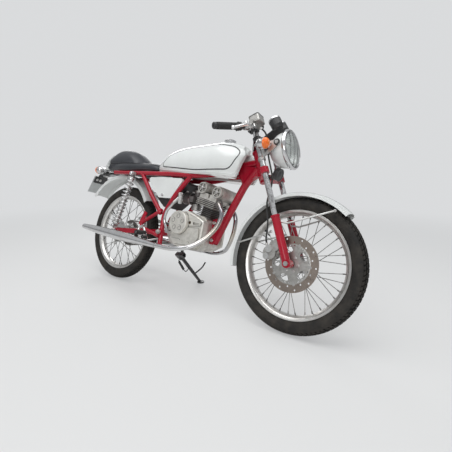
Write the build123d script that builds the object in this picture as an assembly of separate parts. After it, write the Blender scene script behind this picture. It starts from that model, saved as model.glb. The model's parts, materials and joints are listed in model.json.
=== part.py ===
from build123d import *
import json
import math
import os

# Small single-cylinder cafe racer motorcycle, parked on its side stand.
# It is drawn upright in millimetres: X forward from the rear axle, Y to the rider's left,
# Z up from the ground. The last section leans it over onto the stand.

# Stance
wheelbase = 1195
tyre_radius = 298
crown_radius = 35.5
lean_deg = 16
head_angle_deg = 24
trail = 75

# Wheels
tyre_height = 60
rim_flange_radius = tyre_radius - tyre_height
rim_seat_radius = rim_flange_radius - 11
rim_well_radius = rim_seat_radius - 8
rim_wall = 4
rim_half_width = 25
rim_flange_thickness = 3
front_tyre_half_width = 34
rear_tyre_half_width = 37
shoulder_radius = tyre_radius - 15
shoulder_half_width = 29
spoke_count = 36
spoke_diameter = 3
spoke_swing_deg = 60
axle_radius = 6
rear_axle_radius = 7
running_clearance = 0.05
face_clearance = 0.3

# Front brake
disc_radius = 120
disc_inner_radius = 84
disc_thickness = 4
disc_y = -50
disc_hole_count = 20
disc_hole_radius = 4
disc_arm_count = 5
caliper_slot_clearance = 2

# Fork and steering, in the steering frame: U ahead of the steering axis, V left, W up along it
leg_offset = 48
leg_half_spacing = 84
fork_tube_radius = 13.5
slider_radius = 18.5
slider_top_w = 518
tube_overlap = 68
stem_radius = 13
head_tube_radius = 23
head_cup_radius = 27
head_cup_height = 9
hose_radius = 4
lower_bridge_w = 722
lower_bridge_height = 28
head_length = 135
upper_bridge_height = 20
bearing_gap = 1
steering_lock_deg = 33

# Handlebars
bar_radius = 11
grip_radius = 16
grip_length = 118
clip_on_height = 25
clip_on_rise = 33
bar_root_u = 78
bar_reach = 300
bar_sweep = 107.5
bar_drop = 33.5
mirror_thread_radius = 4
mirror_thread_depth = 16

# Lamps
beam_tilt_deg = 11
lamp_centre = (1092, 0, 816)
lamp_rim_radius = 95
lamp_shell_radius = 87
lamp_depth = 104
lamp_bowl_depth = 60
lens_radius = 84
signal_radius = 26
gauge_rise = 21
gauge_height = 56
gauge_radius = 29
gauge_half_spacing = 33
horn_radius = 30
tail_lamp_radius = 38

# Frame
main_tube_radius = 17
case_front = 722
down_tube_radius = 19
rail_radius = 12.5
rail_half_spacing = 90
hanger_radius = 10
swingarm_pivot = (430, 338)
swingarm_pivot_radius = 7
swingarm_tube = (20, 34)
swingarm_half_spacing = 66

# Final drive
chain_pitch = 12.7
rear_teeth = 40
front_teeth = 15
output_shaft = (520, 338)
chain_y = 48
chain_width = 12
chain_height = 10
chain_groove = 6
sprocket_thickness = 3.4

# Engine
barrel_base = (688, 448)
barrel_tilt_deg = 12
fin_pitch = 9
fin_thickness = 3
barrel_fin_count = 6
barrel_fin_length = 94
barrel_fin_width = 120
head_fin_count = 4
head_fin_length = 120
head_right_y = -78
head_left_y = 64
fin_shift = -7
cam_height = 145
cam_cover_radius = 29
clutch_centre = (587, 404)
clutch_radius = 60

# Exhaust
header_radius = 11.5
port_half_spacing = 36
port_splay = 1.6
port_reach = 64
port_height = 93
tail_pipe_end_x = -137

# Bodywork
front_fender_gap = 21
front_fender_half_width = 48
rear_fender_gap = 40
rear_fender_half_width = 52
rear_fender_centre = (-60, 335)
fender_thickness = 2

# Side stand
stand_pivot = (452, 84, 212)
stand_foot = (504, 243)
stand_stowed_direction = (-0.95, 0.28, -0.14)
stand_leg_radius = 9
stand_pin_radius = 5


def point_at(radius, angle_deg, centre=(0, 0)):
    """A point (x, z) on a circle, its angle turning up from straight ahead."""
    angle = math.radians(angle_deg)
    return (centre[0] + radius * math.cos(angle), centre[1] + radius * math.sin(angle))


def rod(start, end, radius):
    """A round bar between two points."""
    run = Vector(*end) - Vector(*start)
    bar = Cylinder(radius, run.length, align=(Align.CENTER, Align.CENTER, Align.MIN))
    return Plane(origin=start, z_dir=run) * bar


def disc(centre, y_low, y_high, radius):
    """A round slab across the machine, its centre given as (x, z)."""
    return rod((centre[0], y_low, centre[1]), (centre[0], y_high, centre[1]), radius)


def bent_tube(points, radius, bend_radii):
    """A round tube along straight runs joined by arcs."""
    path = FilletPolyline(*points, radius=bend_radii)
    section = Plane(origin=path @ 0, z_dir=path % 0) * Circle(radius)
    return sweep(section, path=path)


def largest_bends(route):
    """The radius of each bend of a hose: as large as the two runs beside it allow."""
    corners = [Vector(*point) for point in route]
    radii = []
    for before, corner, after in zip(corners, corners[1:], corners[2:]):
        run_in = corner - before
        run_out = after - corner
        half_turn = math.radians(run_in.get_angle(run_out)) / 2
        radii.append(0.45 * min(run_in.length, run_out.length) / math.tan(half_turn))
    return radii


def side_plate(outline, y_low, y_high):
    """A plate seen from the side, from an outline of (x, z) points."""
    view = Plane((0, y_high, 0), x_dir=(1, 0, 0), z_dir=(0, -1, 0))
    return extrude(view * make_face(Polyline(*outline, close=True)), y_high - y_low)


def turned(profile, centre):
    """A body of revolution about a crosswise axis, from (radius, y) points."""
    body = revolve(make_face(Polyline(*profile, close=True)), Axis.Y)
    return Pos(centre[0], 0, centre[1]) * body


def dome(start, end):
    """An arc between two (radius, distance) points, its centre on the axis of revolution."""
    squares = end[0] ** 2 + end[1] ** 2 - start[0] ** 2 - start[1] ** 2
    centre = squares / (2 * (end[1] - start[1]))
    reach = math.hypot(start[0], start[1] - centre)
    start_angle = math.atan2(start[1] - centre, start[0])
    end_angle = math.atan2(end[1] - centre, end[0])
    middle = (start_angle + end_angle) / 2
    return ThreePointArc(start, (reach * math.cos(middle), centre + reach * math.sin(middle)), end)


def biggest(shape):
    """The main solid of a shape, without the scraps of a cut."""
    return max(shape.solids(), key=lambda solid: solid.volume)


def smooth_tube(points, radius):
    """A round tube whose bends are as wide as its straight runs allow."""
    places = [Vector(*point) for point in points]
    radii = []
    for before, corner, after in zip(places, places[1:], places[2:]):
        turn = (corner - before).get_angle(after - corner)
        run = min((corner - before).length, (after - corner).length)
        radii.append(0.45 * run / math.tan(math.radians(turn) / 2))
    return bent_tube(points, radius, radii)


def bread_section(x, half_base, half_width, base_z, widest_z, shoulder_z, top_z):
    """A cross-section with a flat base, bulging sides and a crowned top."""
    half_shoulder = half_width * 0.86
    side_z = (widest_z + shoulder_z) / 2
    with BuildLine(Plane((x, 0, 0), x_dir=(0, 1, 0), z_dir=(1, 0, 0))) as outline:
        Line((-half_base, base_z), (half_base, base_z))
        Line((half_base, base_z), (half_width * 0.985, widest_z))
        ThreePointArc(
            (half_width * 0.985, widest_z), (half_width, side_z), (half_shoulder, shoulder_z)
        )
        ThreePointArc(
            (half_shoulder, shoulder_z),
            (half_shoulder * 0.62, shoulder_z + (top_z - shoulder_z) * 0.72),
            (0, top_z),
        )
        ThreePointArc(
            (0, top_z),
            (-half_shoulder * 0.62, shoulder_z + (top_z - shoulder_z) * 0.72),
            (-half_shoulder, shoulder_z),
        )
        ThreePointArc(
            (-half_shoulder, shoulder_z), (-half_width, side_z), (-half_width * 0.985, widest_z)
        )
        Line((-half_width * 0.985, widest_z), (-half_base, base_z))
    return make_face(outline.line)


rear_axle = (0, tyre_radius)
front_axle = (wheelbase, tyre_radius)
front_fender_radius = tyre_radius + front_fender_gap
rear_fender_radius = tyre_radius + rear_fender_gap
lower_bridge_top = lower_bridge_w + lower_bridge_height
upper_bridge_w = lower_bridge_top + head_length
upper_bridge_top = upper_bridge_w + upper_bridge_height
clip_on_w = upper_bridge_top + clip_on_rise
tube_bottom_w = slider_top_w - tube_overlap
tube_top_w = clip_on_w + clip_on_height + 3
steer_foot_x = wheelbase + trail
head_angle = math.radians(head_angle_deg)
steering_plane = Plane(
    origin=(steer_foot_x, 0, 0),
    x_dir=(math.cos(head_angle), 0, math.sin(head_angle)),
    z_dir=(-math.sin(head_angle), 0, math.cos(head_angle)),
)


def from_steering(u, v, w):
    """A point of the steering frame in the machine's own frame."""
    return tuple(steering_plane.from_local_coords(Vector(u, v, w)))


def to_steering(x, y, z):
    """A point of the machine's own frame in the steering frame."""
    return tuple(steering_plane.to_local_coords(Vector(x, y, z)))


nodes = {}
bodies = {"frame": [], "steering": [], "front_wheel": [], "rear_wheel": [], "side_stand": []}


def add(name, body, *shapes):
    """Records a sub-part, of one solid or of like solids that don't touch."""
    solids = [solid for shape in shapes for solid in shape.solids()]
    nodes[name] = Compound(children=[Solid(solid.wrapped) for solid in solids])
    bodies[body].append(name)
    return nodes[name]


# Tyres: a round crown, bulging walls and beads seated between the rim flanges
def tyre(half_width, centre):
    bead_y = rim_half_width - rim_flange_thickness
    bead_top = rim_flange_radius + 2
    widest_radius = (bead_top + shoulder_radius) / 2
    with BuildLine() as outline:
        Line((rim_seat_radius, -bead_y), (rim_seat_radius, bead_y))
        Line((rim_seat_radius, bead_y), (bead_top, bead_y))
        ThreePointArc(
            (bead_top, bead_y), (widest_radius, half_width), (shoulder_radius, shoulder_half_width)
        )
        ThreePointArc(
            (shoulder_radius, shoulder_half_width),
            (tyre_radius, 0),
            (shoulder_radius, -shoulder_half_width),
        )
        ThreePointArc(
            (shoulder_radius, -shoulder_half_width), (widest_radius, -half_width), (bead_top, -bead_y)
        )
        Line((bead_top, -bead_y), (rim_seat_radius, -bead_y))
    return Pos(centre[0], 0, centre[1]) * revolve(make_face(outline.line), Axis.Y)


add("front_tyre", "front_wheel", tyre(front_tyre_half_width, front_axle))
add("rear_tyre", "rear_wheel", tyre(rear_tyre_half_width, rear_axle))


# Laced wheels: rim, hub shell and tangential spokes
def rim_profile():
    well = rim_well_radius
    seat = rim_seat_radius
    flange = rim_flange_radius
    edge = rim_half_width
    lip = edge - rim_flange_thickness
    upper = [(flange, edge), (flange, lip), (seat, lip), (seat, 14), (well, 9)]
    lower = [(well - rim_wall, 12), (seat - rim_wall - 1, 16), (seat + 2, edge)]
    ring = upper + [(r, -y) for r, y in reversed(upper)]
    return ring + [(r, -y) for r, y in reversed(lower)] + lower


def laced_wheel(hub_profile, flange_radius, flange_ys, centre):
    wheel = turned(rim_profile(), (0, 0)) + turned(hub_profile, (0, 0))
    step = 360 / spoke_count
    rim_end = rim_well_radius - rim_wall / 2
    spokes = []
    for index in range(spoke_count):
        side = index % 2
        leading = (index // 2) % 2
        swing = spoke_swing_deg if leading else -spoke_swing_deg
        flange_y = flange_ys[side] + (1.5 if leading else -1.5)
        x_hub, z_hub = point_at(flange_radius, index * step + swing)
        x_rim, z_rim = point_at(rim_end, index * step)
        rim_y = -5 if side == 0 else 5
        spokes.append(rod((x_hub, flange_y, z_hub), (x_rim, rim_y, z_rim), spoke_diameter / 2))
    wheel = wheel.fuse(*spokes)
    return Pos(centre[0], 0, centre[1]) * wheel


front_bore = axle_radius + running_clearance
front_hub_right = disc_y + disc_thickness / 2
front_hub_left = 46
front_flange_ys = (-32, 32)
front_hub = [
    (front_bore, front_hub_right),
    (30, front_hub_right),
    (30, -40),
    (22, -38),
    (22, -34.5),
    (38, -34.5),
    (38, -29.5),
    (20, -27),
    (18, 0),
    (20, 27),
    (38, 29.5),
    (38, 34.5),
    (24, 34.5),
    (24, front_hub_left),
    (front_bore, front_hub_left),
]
add("front_wire_wheel", "front_wheel", laced_wheel(front_hub, 34, front_flange_ys, front_axle))

# The rear hub is a brake drum, open to its backing plate on the right
rear_bore = rear_axle_radius + running_clearance
drum_radius = 64
drum_right = -44
sprocket_face = chain_y - sprocket_thickness / 2
rear_hub = [
    (rear_bore, -6),
    (drum_radius - 9, -6),
    (drum_radius - 9, drum_right),
    (drum_radius + 6, drum_right),
    (drum_radius + 6, drum_right + 5),
    (drum_radius, drum_right + 5),
    (drum_radius, 0),
    (34, 14),
    (34, 26),
    (62, 27),
    (62, 32),
    (40, 34),
    (40, sprocket_face),
    (rear_bore, sprocket_face),
]
rear_flange_ys = (drum_right + 2.5, 29.5)
rear_wheel_solid = turned(rim_profile(), (0, 0)) + turned(rear_hub, (0, 0))
rear_spokes = []
for index in range(spoke_count):
    side = index % 2
    leading = (index // 2) % 2
    swing = 32 if leading else -32
    hub_radius = drum_radius + 3 if side == 0 else 58
    x_hub, z_hub = point_at(hub_radius, index * 360 / spoke_count + swing)
    x_rim, z_rim = point_at(rim_well_radius - rim_wall / 2, index * 360 / spoke_count)
    rim_y = -5 if side == 0 else 5
    start = (x_hub, rear_flange_ys[side], z_hub)
    rear_spokes.append(rod(start, (x_rim, rim_y, z_rim), spoke_diameter / 2))
rear_wheel_solid = rear_wheel_solid.fuse(*rear_spokes)
add("rear_wire_wheel", "rear_wheel", Pos(rear_axle[0], 0, rear_axle[1]) * rear_wheel_solid)


# Sprockets and chain
def pitch_radius(teeth):
    return chain_pitch / (2 * math.sin(math.pi / teeth))


def sprocket(teeth, centre, bore_radius):
    root = pitch_radius(teeth) - 4.5
    tip = pitch_radius(teeth) + 2
    tooth_outline = []
    for tooth in range(teeth):
        middle = tooth * 360 / teeth
        quarter = 360 / teeth / 4
        tooth_outline += [
            point_at(root, middle - quarter),
            point_at(tip, middle - quarter * 0.45),
            point_at(tip, middle + quarter * 0.45),
            point_at(root, middle + quarter),
        ]
    low = chain_y - sprocket_thickness / 2
    plate = side_plate(tooth_outline, low, chain_y + sprocket_thickness / 2)
    plate -= disc((0, 0), low - 1, chain_y + sprocket_thickness, bore_radius)
    return Pos(centre[0], 0, centre[1]) * plate


rear_sprocket = sprocket(rear_teeth, (0, 0), rear_bore)
for index in range(6):
    window = point_at(56, index * 60 + 30)
    rear_sprocket -= disc(window, chain_y - 5, chain_y + 5, 11)
add("rear_sprocket", "rear_wheel", Pos(rear_axle[0], 0, rear_axle[1]) * rear_sprocket)


def chain_loop():
    """Both runs and both wraps of the chain, grooved inside for the sprocket teeth."""
    rear_r = pitch_radius(rear_teeth)
    front_r = pitch_radius(front_teeth)
    span_x = output_shaft[0] - rear_axle[0]
    span_z = output_shaft[1] - rear_axle[1]
    distance = math.hypot(span_x, span_z)
    slope = math.degrees(math.atan2(span_z, span_x))
    tilt = math.degrees(math.asin((rear_r - front_r) / distance))

    def band(half_height):
        loop = None
        for sign in (1, -1):
            angle = slope + sign * (90 - tilt)
            inner = (point_at(rear_r, angle, rear_axle), point_at(front_r, angle, output_shaft))
            outward = point_at(half_height, angle)
            outline = [
                (inner[0][0] - outward[0], inner[0][1] - outward[1]),
                (inner[0][0] + outward[0], inner[0][1] + outward[1]),
                (inner[1][0] + outward[0], inner[1][1] + outward[1]),
                (inner[1][0] - outward[0], inner[1][1] - outward[1]),
            ]
            run = side_plate(outline, -chain_width / 2, chain_width / 2)
            loop = run if loop is None else loop + run
        return loop

    def wrap(radius, centre, half_height):
        outer = disc(centre, -chain_width / 2, chain_width / 2, radius + half_height)
        return outer - disc(centre, -chain_width, chain_width, radius - half_height)

    def sector(centre, radius, ahead):
        """The half of a sprocket's circle that the chain goes round."""
        angle_top = slope + 90 - tilt
        angle_low = slope - 90 + tilt
        reach = 2 * radius
        top = point_at(reach, angle_top, centre)
        low = point_at(reach, angle_low, centre)
        side = slope if ahead else slope + 180
        top_far = point_at(3 * radius, side, top)
        low_far = point_at(3 * radius, side, low)
        outline = [centre, top, top_far, low_far, low]
        return side_plate(outline, -chain_width, chain_width)

    half = chain_height / 2
    loop = band(half)
    loop += wrap(rear_r, rear_axle, half) & sector(rear_axle, rear_r, False)
    loop += wrap(front_r, output_shaft, half) & sector(output_shaft, front_r, True)
    return Pos(0, chain_y, 0) * loop


chain = chain_loop()
rear_groove = disc(
    rear_axle, chain_y - chain_groove / 2, chain_y + chain_groove / 2, pitch_radius(rear_teeth) + 3.5
)
front_groove = disc(
    output_shaft, chain_y - chain_groove / 2, chain_y + chain_groove / 2, pitch_radius(front_teeth) + 3.5
)
chain = chain - rear_groove - front_groove
add("drive_chain", "frame", chain)

# Front axle with its collars, and the brake disc on the hub's right face
slider_lug = (leg_half_spacing - 20, leg_half_spacing + 19)
front_axle_end = slider_lug[1] + 1
front_axle_solid = disc(front_axle, -front_axle_end, front_axle_end, axle_radius)
front_axle_solid += disc(front_axle, -slider_lug[0], front_hub_right - disc_thickness - face_clearance, 10)
front_axle_solid += disc(front_axle, front_hub_left + face_clearance, slider_lug[0], 10)
front_axle_solid += disc(front_axle, -front_axle_end - 6, -slider_lug[1], 10)
front_axle_solid += disc(front_axle, slider_lug[1], front_axle_end + 6, 10)
add("front_axle", "steering", front_axle_solid)

disc_low = disc_y - disc_thickness / 2
disc_high = disc_y + disc_thickness / 2
brake_ring = disc((0, 0), disc_low, disc_high, disc_radius)
brake_ring -= disc((0, 0), disc_low - 1, disc_high + 1, disc_inner_radius)
for index in range(disc_hole_count):
    hole_radius = 94 if index % 2 else 109
    hole = point_at(hole_radius, index * 360 / disc_hole_count)
    brake_ring -= disc(hole, disc_low - 1, disc_high + 1, disc_hole_radius)
carrier = disc((0, 0), disc_low, disc_high, 42)
for index in range(disc_arm_count):
    middle = index * 360 / disc_arm_count
    arm = [
        point_at(38, middle - 26),
        point_at(86, middle - 7),
        point_at(86, middle + 7),
        point_at(38, middle + 26),
    ]
    carrier += side_plate(arm, disc_low, disc_high)
carrier -= disc((0, 0), disc_low - 1, disc_high + 1, 12)
add("front_disc", "front_wheel", Pos(front_axle[0], 0, front_axle[1]) * (brake_ring + carrier))

# Fork: bridges with the stem, chromed tubes and sliders
leg_u = leg_offset
fork_leg = leg_half_spacing


def bridge(bottom_w, height, boss_radius):
    wing = [(-26, 0), (-10, 26), (leg_u - 12, fork_leg + 10), (leg_u + 16, fork_leg + 6), (26, 0)]
    outline = wing + [(u, -v) for u, v in reversed(wing[1:-1])]
    plate = extrude(Plane((0, 0, bottom_w)) * make_face(Polyline(*outline, close=True)), height)
    hole = fork_tube_radius + running_clearance
    for v in (-fork_leg, fork_leg):
        plate += rod((leg_u, v, bottom_w), (leg_u, v, bottom_w + height), boss_radius)
        plate -= rod((leg_u, v, bottom_w - 1), (leg_u, v, bottom_w + height + 1), hole)
    return plate


to_machine = steering_plane.location
lower_bridge = bridge(lower_bridge_w, lower_bridge_height, 21)
lower_bridge += rod((0, 0, lower_bridge_w), (0, 0, upper_bridge_w), stem_radius)
lower_bridge += rod((0, 0, lower_bridge_w - 6), (0, 0, lower_bridge_w), 20)
add("lower_fork_bridge", "steering", to_machine * lower_bridge)
upper_bridge = bridge(upper_bridge_w, upper_bridge_height, 20)
upper_bridge += rod((0, 0, upper_bridge_top), (0, 0, upper_bridge_top + 12), 15)
add("upper_fork_bridge", "steering", to_machine * upper_bridge)

fork_tubes = []
fork_sliders = []
axle_u, _, axle_w = to_steering(front_axle[0], 0, front_axle[1])
for v in (-fork_leg, fork_leg):
    tube = rod((leg_u, v, tube_bottom_w), (leg_u, v, tube_top_w), fork_tube_radius)
    fork_tubes.append(to_machine * tube)
    slider = rod((leg_u, v, axle_w), (leg_u, v, slider_top_w), slider_radius)
    slider += rod((leg_u, v, slider_top_w - 8), (leg_u, v, slider_top_w), slider_radius + 2)
    side = 1 if v > 0 else -1
    lug_inner = side * slider_lug[0]
    lug_outer = side * slider_lug[1]
    slider += rod((axle_u, lug_inner, axle_w), (axle_u, lug_outer, axle_w), 18)
    slider_bore = fork_tube_radius + running_clearance
    slider -= rod((leg_u, v, tube_bottom_w), (leg_u, v, slider_top_w + 1), slider_bore)
    slider -= rod((axle_u, side * 50, axle_w), (axle_u, side * 110, axle_w), axle_radius + running_clearance)
    fork_sliders.append(to_machine * slider)
add("fork_tubes", "steering", *fork_tubes)
sliders = add("fork_sliders", "steering", *fork_sliders)


# Fenders: a thin crowned channel turned about a centre
def fender(radius, half_width, skirt, start_deg, end_deg, centre):
    inner = radius - fender_thickness
    crown = 10
    edge_radius = radius - crown
    with BuildLine() as outline:
        ThreePointArc((edge_radius, -half_width), (radius, 0), (edge_radius, half_width))
        Line((edge_radius, half_width), (edge_radius - skirt, half_width))
        Line((edge_radius - skirt, half_width), (edge_radius - skirt, half_width - fender_thickness))
        Line(
            (edge_radius - skirt, half_width - fender_thickness),
            (edge_radius - fender_thickness, half_width - fender_thickness),
        )
        ThreePointArc(
            (edge_radius - fender_thickness, half_width - fender_thickness),
            (inner, 0),
            (edge_radius - fender_thickness, -half_width + fender_thickness),
        )
        Line(
            (edge_radius - fender_thickness, -half_width + fender_thickness),
            (edge_radius - skirt, -half_width + fender_thickness),
        )
        Line((edge_radius - skirt, -half_width + fender_thickness), (edge_radius - skirt, -half_width))
        Line((edge_radius - skirt, -half_width), (edge_radius, -half_width))
    strip = revolve(make_face(outline.line), Axis.Y, revolution_arc=end_deg - start_deg)
    return Pos(centre[0], 0, centre[1]) * (Rot(0, -end_deg, 0) * strip)


front_fender = fender(front_fender_radius, front_fender_half_width, 14, 49, 191.5, front_axle)
add("front_fender", "steering", front_fender)

# Each route lists x ahead of the axle, half width y and z above the axle, from slider to fender
stay_routes = (
    ((-75, 70, 172), (-37, 66, 170), (149, 49.5, 242)),
    ((-105, 70, 124), (-132, 66, 112), (-274, 49.5, 56)),
)
stays = []
for side in (-1, 1):
    for route in stay_routes:
        points = [(front_axle[0] + x, side * y, front_axle[1] + z) for x, y, z in route]
        stay = bent_tube(points, 4, 12) - sliders - front_fender
        stays.append(biggest(stay))
add("fender_stays", "steering", *stays)

# Brake caliper behind the right slider
caliper_radius = disc_radius - 22
caliper_right = disc_y - 36
caliper_left = disc_y + 20
caliper_inner = caliper_radius - 28
caliper_outer = caliper_radius + 26
caliper = disc(point_at(caliper_radius, 160, front_axle), caliper_right, caliper_left, 30)
caliper += disc(point_at(caliper_radius, 138, front_axle), caliper_right, caliper_left, 24)
caliper += side_plate(
    [
        point_at(caliper_inner, 128, front_axle),
        point_at(caliper_outer, 130, front_axle),
        point_at(caliper_outer, 168, front_axle),
        point_at(caliper_inner, 172, front_axle),
    ],
    caliper_right + 10,
    caliper_left - 4,
)
slot_half = disc_thickness / 2 + caliper_slot_clearance
slot = disc(front_axle, disc_y - slot_half, disc_y + slot_half, disc_radius + 5)
caliper = caliper - slot - sliders
caliper -= disc(front_axle, -34.5, 0, 62)
add("brake_caliper", "steering", biggest(caliper))


# Headlight: shell with its reflector bowl, rim and lens
beam_tilt = math.radians(beam_tilt_deg)
beam = Plane(
    origin=lamp_centre,
    x_dir=(0, 1, 0),
    z_dir=(math.cos(beam_tilt), 0, math.sin(beam_tilt)),
)
with BuildLine() as shell_line:
    dome((0, -lamp_depth), (lamp_shell_radius - 3, -34))
    Line((lamp_shell_radius - 3, -34), (lamp_shell_radius, -10))
    Line((lamp_shell_radius, -10), (lamp_rim_radius - 2, -10))
    Line((lamp_rim_radius - 2, -10), (lamp_rim_radius, -4))
    Line((lamp_rim_radius, -4), (lamp_rim_radius - 4, 5))
    Line((lamp_rim_radius - 4, 5), (lens_radius, 7))
    Line((lens_radius, 7), (lens_radius, -6))
    Line((lens_radius, -6), (lens_radius - 4, -6))
    dome((lens_radius - 4, -6), (0, -lamp_bowl_depth))
    Line((0, -lamp_bowl_depth), (0, -lamp_depth))
lamp_shell = beam.location * (Rot(90, 0, 0) * revolve(make_face(shell_line.line), Axis.Y))
add("headlight_shell", "steering", lamp_shell)
with BuildLine() as lens_line:
    Line((0, -2), (lens_radius - 8, -6))
    Line((lens_radius - 8, -6), (lens_radius, -6))
    Line((lens_radius, -6), (lens_radius, 6))
    dome((lens_radius, 6), (0, 18))
    Line((0, 18), (0, -2))
lamp_lens = beam.location * (Rot(90, 0, 0) * revolve(make_face(lens_line.line), Axis.Y))
add("headlight_lens", "steering", lamp_lens)

# Headlight brackets: a clamp on each fork tube and an arm with a ring at the lamp's bolt
ear_bolt = to_steering(1059, 0, 820)
ear_y = lamp_shell_radius + 1
ear_low_w = upper_bridge_w - 99
ear_high_w = upper_bridge_w - 23
ears = []
for side in (-1, 1):
    v = side * fork_leg
    arm = [
        (leg_u + 6, ear_high_w + 6),
        (ear_bolt[0] + 4, ear_bolt[2] + 15),
        (ear_bolt[0] + 14, ear_bolt[2]),
        (ear_bolt[0], ear_bolt[2] - 15),
        (leg_u + 6, ear_low_w + 6),
    ]
    window = [(leg_u + 24, ear_high_w - 6), (ear_bolt[0] - 22, ear_bolt[2] + 6), (leg_u + 24, ear_low_w + 26)]
    y_low = min(side * ear_y, side * (ear_y + 4))
    ear = side_plate(arm, y_low, y_low + 4) - side_plate(window, y_low - 1, y_low + 5)
    for w in (ear_low_w, ear_high_w):
        ear += rod((leg_u, v, w), (leg_u, v, w + 12), fork_tube_radius + 4)
    ear -= rod((leg_u, v, tube_bottom_w), (leg_u, v, tube_top_w), fork_tube_radius + running_clearance)
    bolt_low = (ear_bolt[0], side * (lamp_shell_radius - 8), ear_bolt[2])
    bolt_high = (ear_bolt[0], side * (ear_y + 9), ear_bolt[2])
    ear += rod(bolt_low, bolt_high, 7)
    ears.append(to_machine * ear - lamp_shell)
add("headlight_brackets", "steering", *[biggest(ear) for ear in ears])

# Gauges: two cups behind the headlight's top, on a plate from the upper bridge
gauge_low = Vector(146, 0, upper_bridge_top + gauge_rise)
gauge_lean = Vector(-12, 0, gauge_height).normalized()
gauge_high = gauge_low + gauge_lean * gauge_height
gauges = None
for side in (-1, 1):
    offset = Vector(0, side * gauge_half_spacing, 0)
    cup = rod(tuple(gauge_low + offset + gauge_lean * 14), tuple(gauge_high + offset), gauge_radius)
    cup += Plane(origin=tuple(gauge_low + offset), z_dir=gauge_lean).location * Cone(
        gauge_radius - 9, gauge_radius, 14, align=(Align.CENTER, Align.CENTER, Align.MIN)
    )
    cup -= rod(
        tuple(gauge_high + offset - gauge_lean * 4), tuple(gauge_high + offset + gauge_lean), gauge_radius - 4
    )
    gauges = cup if gauges is None else gauges + cup
plate_w = gauge_low.Z - 3
gauge_plate = [
    (30, -20),
    (gauge_low.X - 16, -gauge_half_spacing - 20),
    (gauge_low.X + 14, -gauge_half_spacing - 8),
    (gauge_low.X + 14, gauge_half_spacing + 8),
    (gauge_low.X - 16, gauge_half_spacing + 20),
    (30, 20),
]
gauges += extrude(Plane((0, 0, plate_w)) * make_face(Polyline(*gauge_plate, close=True)), 5)
for v in (-14, 14):
    gauges += rod((34, v, upper_bridge_top), (38, v, plate_w + 1), 5)
add("gauges", "steering", to_machine * gauges)

# Clip-on handlebars with grips, perches and levers
bar_root = Vector(bar_root_u, -fork_leg, clip_on_w + clip_on_height / 2)
bar_end = Vector(bar_root_u - bar_sweep, -bar_reach, clip_on_w + clip_on_height / 2 - bar_drop)
bar_direction = (bar_end - bar_root).normalized()
perch_point = bar_root + bar_direction * 78
clip_on = rod((leg_u, -fork_leg, clip_on_w), (leg_u, -fork_leg, clip_on_w + clip_on_height), 20)
clip_on += rod(tuple(bar_root - bar_direction * 12), tuple(bar_end), bar_radius)
neck = [
    (leg_u, -fork_leg - 14),
    (leg_u, -fork_leg + 14),
    (bar_root_u, -fork_leg + 10),
    (bar_root_u, -fork_leg - 16),
]
clip_on += extrude(Plane((0, 0, clip_on_w + 3)) * make_face(Polyline(*neck, close=True)), clip_on_height - 6)
clip_on += rod(tuple(bar_end - bar_direction * grip_length), tuple(bar_end), grip_radius)
clip_on += rod(tuple(bar_end), tuple(bar_end + bar_direction * 14), 13)
clip_on += rod(tuple(perch_point - bar_direction * 14), tuple(perch_point + bar_direction * 20), 17)
clamp_bore = fork_tube_radius + running_clearance
clip_on -= rod((leg_u, -fork_leg, clip_on_w - 40), (leg_u, -fork_leg, clip_on_w + 80), clamp_bore)
mirror_boss = Vector(-2, 2, 27)
mirror_seat = perch_point + mirror_boss
mirror_thread_end = mirror_seat - mirror_boss.normalized() * mirror_thread_depth
clip_on += rod(tuple(perch_point), tuple(mirror_seat), 9)
clip_on -= rod(tuple(mirror_thread_end), tuple(mirror_seat), mirror_thread_radius)
lever_root = perch_point + Vector(34, -4, -16)
lever_tip = bar_end + Vector(73.5, 8, -45)
lever_bend = lever_root + Vector(4, -46, -16)
lever = bent_tube([tuple(lever_root), tuple(lever_bend), tuple(lever_tip)], 5, 20)
lever += Pos(*lever_tip) * Sphere(8)
lever += rod(tuple(lever_root + Vector(0, 0, 8)), tuple(lever_root + Vector(0, 0, -8)), 11)
lever += rod(tuple(perch_point), tuple(lever_root), 8)
right_bar = to_machine * (clip_on + lever)
add("right_handlebar", "steering", right_bar)
add("left_handlebar", "steering", mirror(right_bar, Plane.XZ))

# Front brake master cylinder ahead of the right bar
reservoir = Box(50, 60, 34)
reservoir = fillet(reservoir.edges().filter_by(Axis.Z), 8)
reservoir += Pos(0, 0, 17) * Box(44, 54, 6)
reservoir = Pos(*(perch_point + Vector(46, 16, 12))) * reservoir
master = reservoir + rod(tuple(perch_point + Vector(34, -22, -2)), tuple(perch_point + Vector(34, 56, 2)), 11)
master = to_machine * master - right_bar
add("master_cylinder", "steering", biggest(master))

# Brake hose: down ahead of the right fork tube, round its inner side and behind the slider to the caliper
# Each row gives U, V and W in the steering frame
hose_front_u = leg_u + fork_tube_radius + hose_radius + 10
hose_route = (
    tuple(perch_point + Vector(34, 49, 1)),
    tuple(perch_point + Vector(58, 61, -24)),
    (92, -76, upper_bridge_w - 17),
    (hose_front_u + 3, -fork_leg + 12, upper_bridge_w - 73),
    (hose_front_u, -fork_leg + 12, lower_bridge_top + 2),
    (hose_front_u - 2, -fork_leg + 13, lower_bridge_w - 26),
    (50, -fork_leg + 23, lower_bridge_w - 70),
    (26, -fork_leg + 12, lower_bridge_w - 112),
    (17, -fork_leg - 3, slider_top_w + 40),
    (13, -fork_leg - 7, slider_top_w - 14),
    (-4, -fork_leg - 6, slider_top_w - 60),
    (-22, -fork_leg - 1, slider_top_w - 94),
    (-22, -fork_leg + 8, slider_top_w - 122),
)
hose = to_machine * bent_tube(hose_route, hose_radius, largest_bends(hose_route))
hose = hose - nodes["master_cylinder"] - nodes["brake_caliper"]
add("brake_hose", "steering", biggest(hose))

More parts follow.
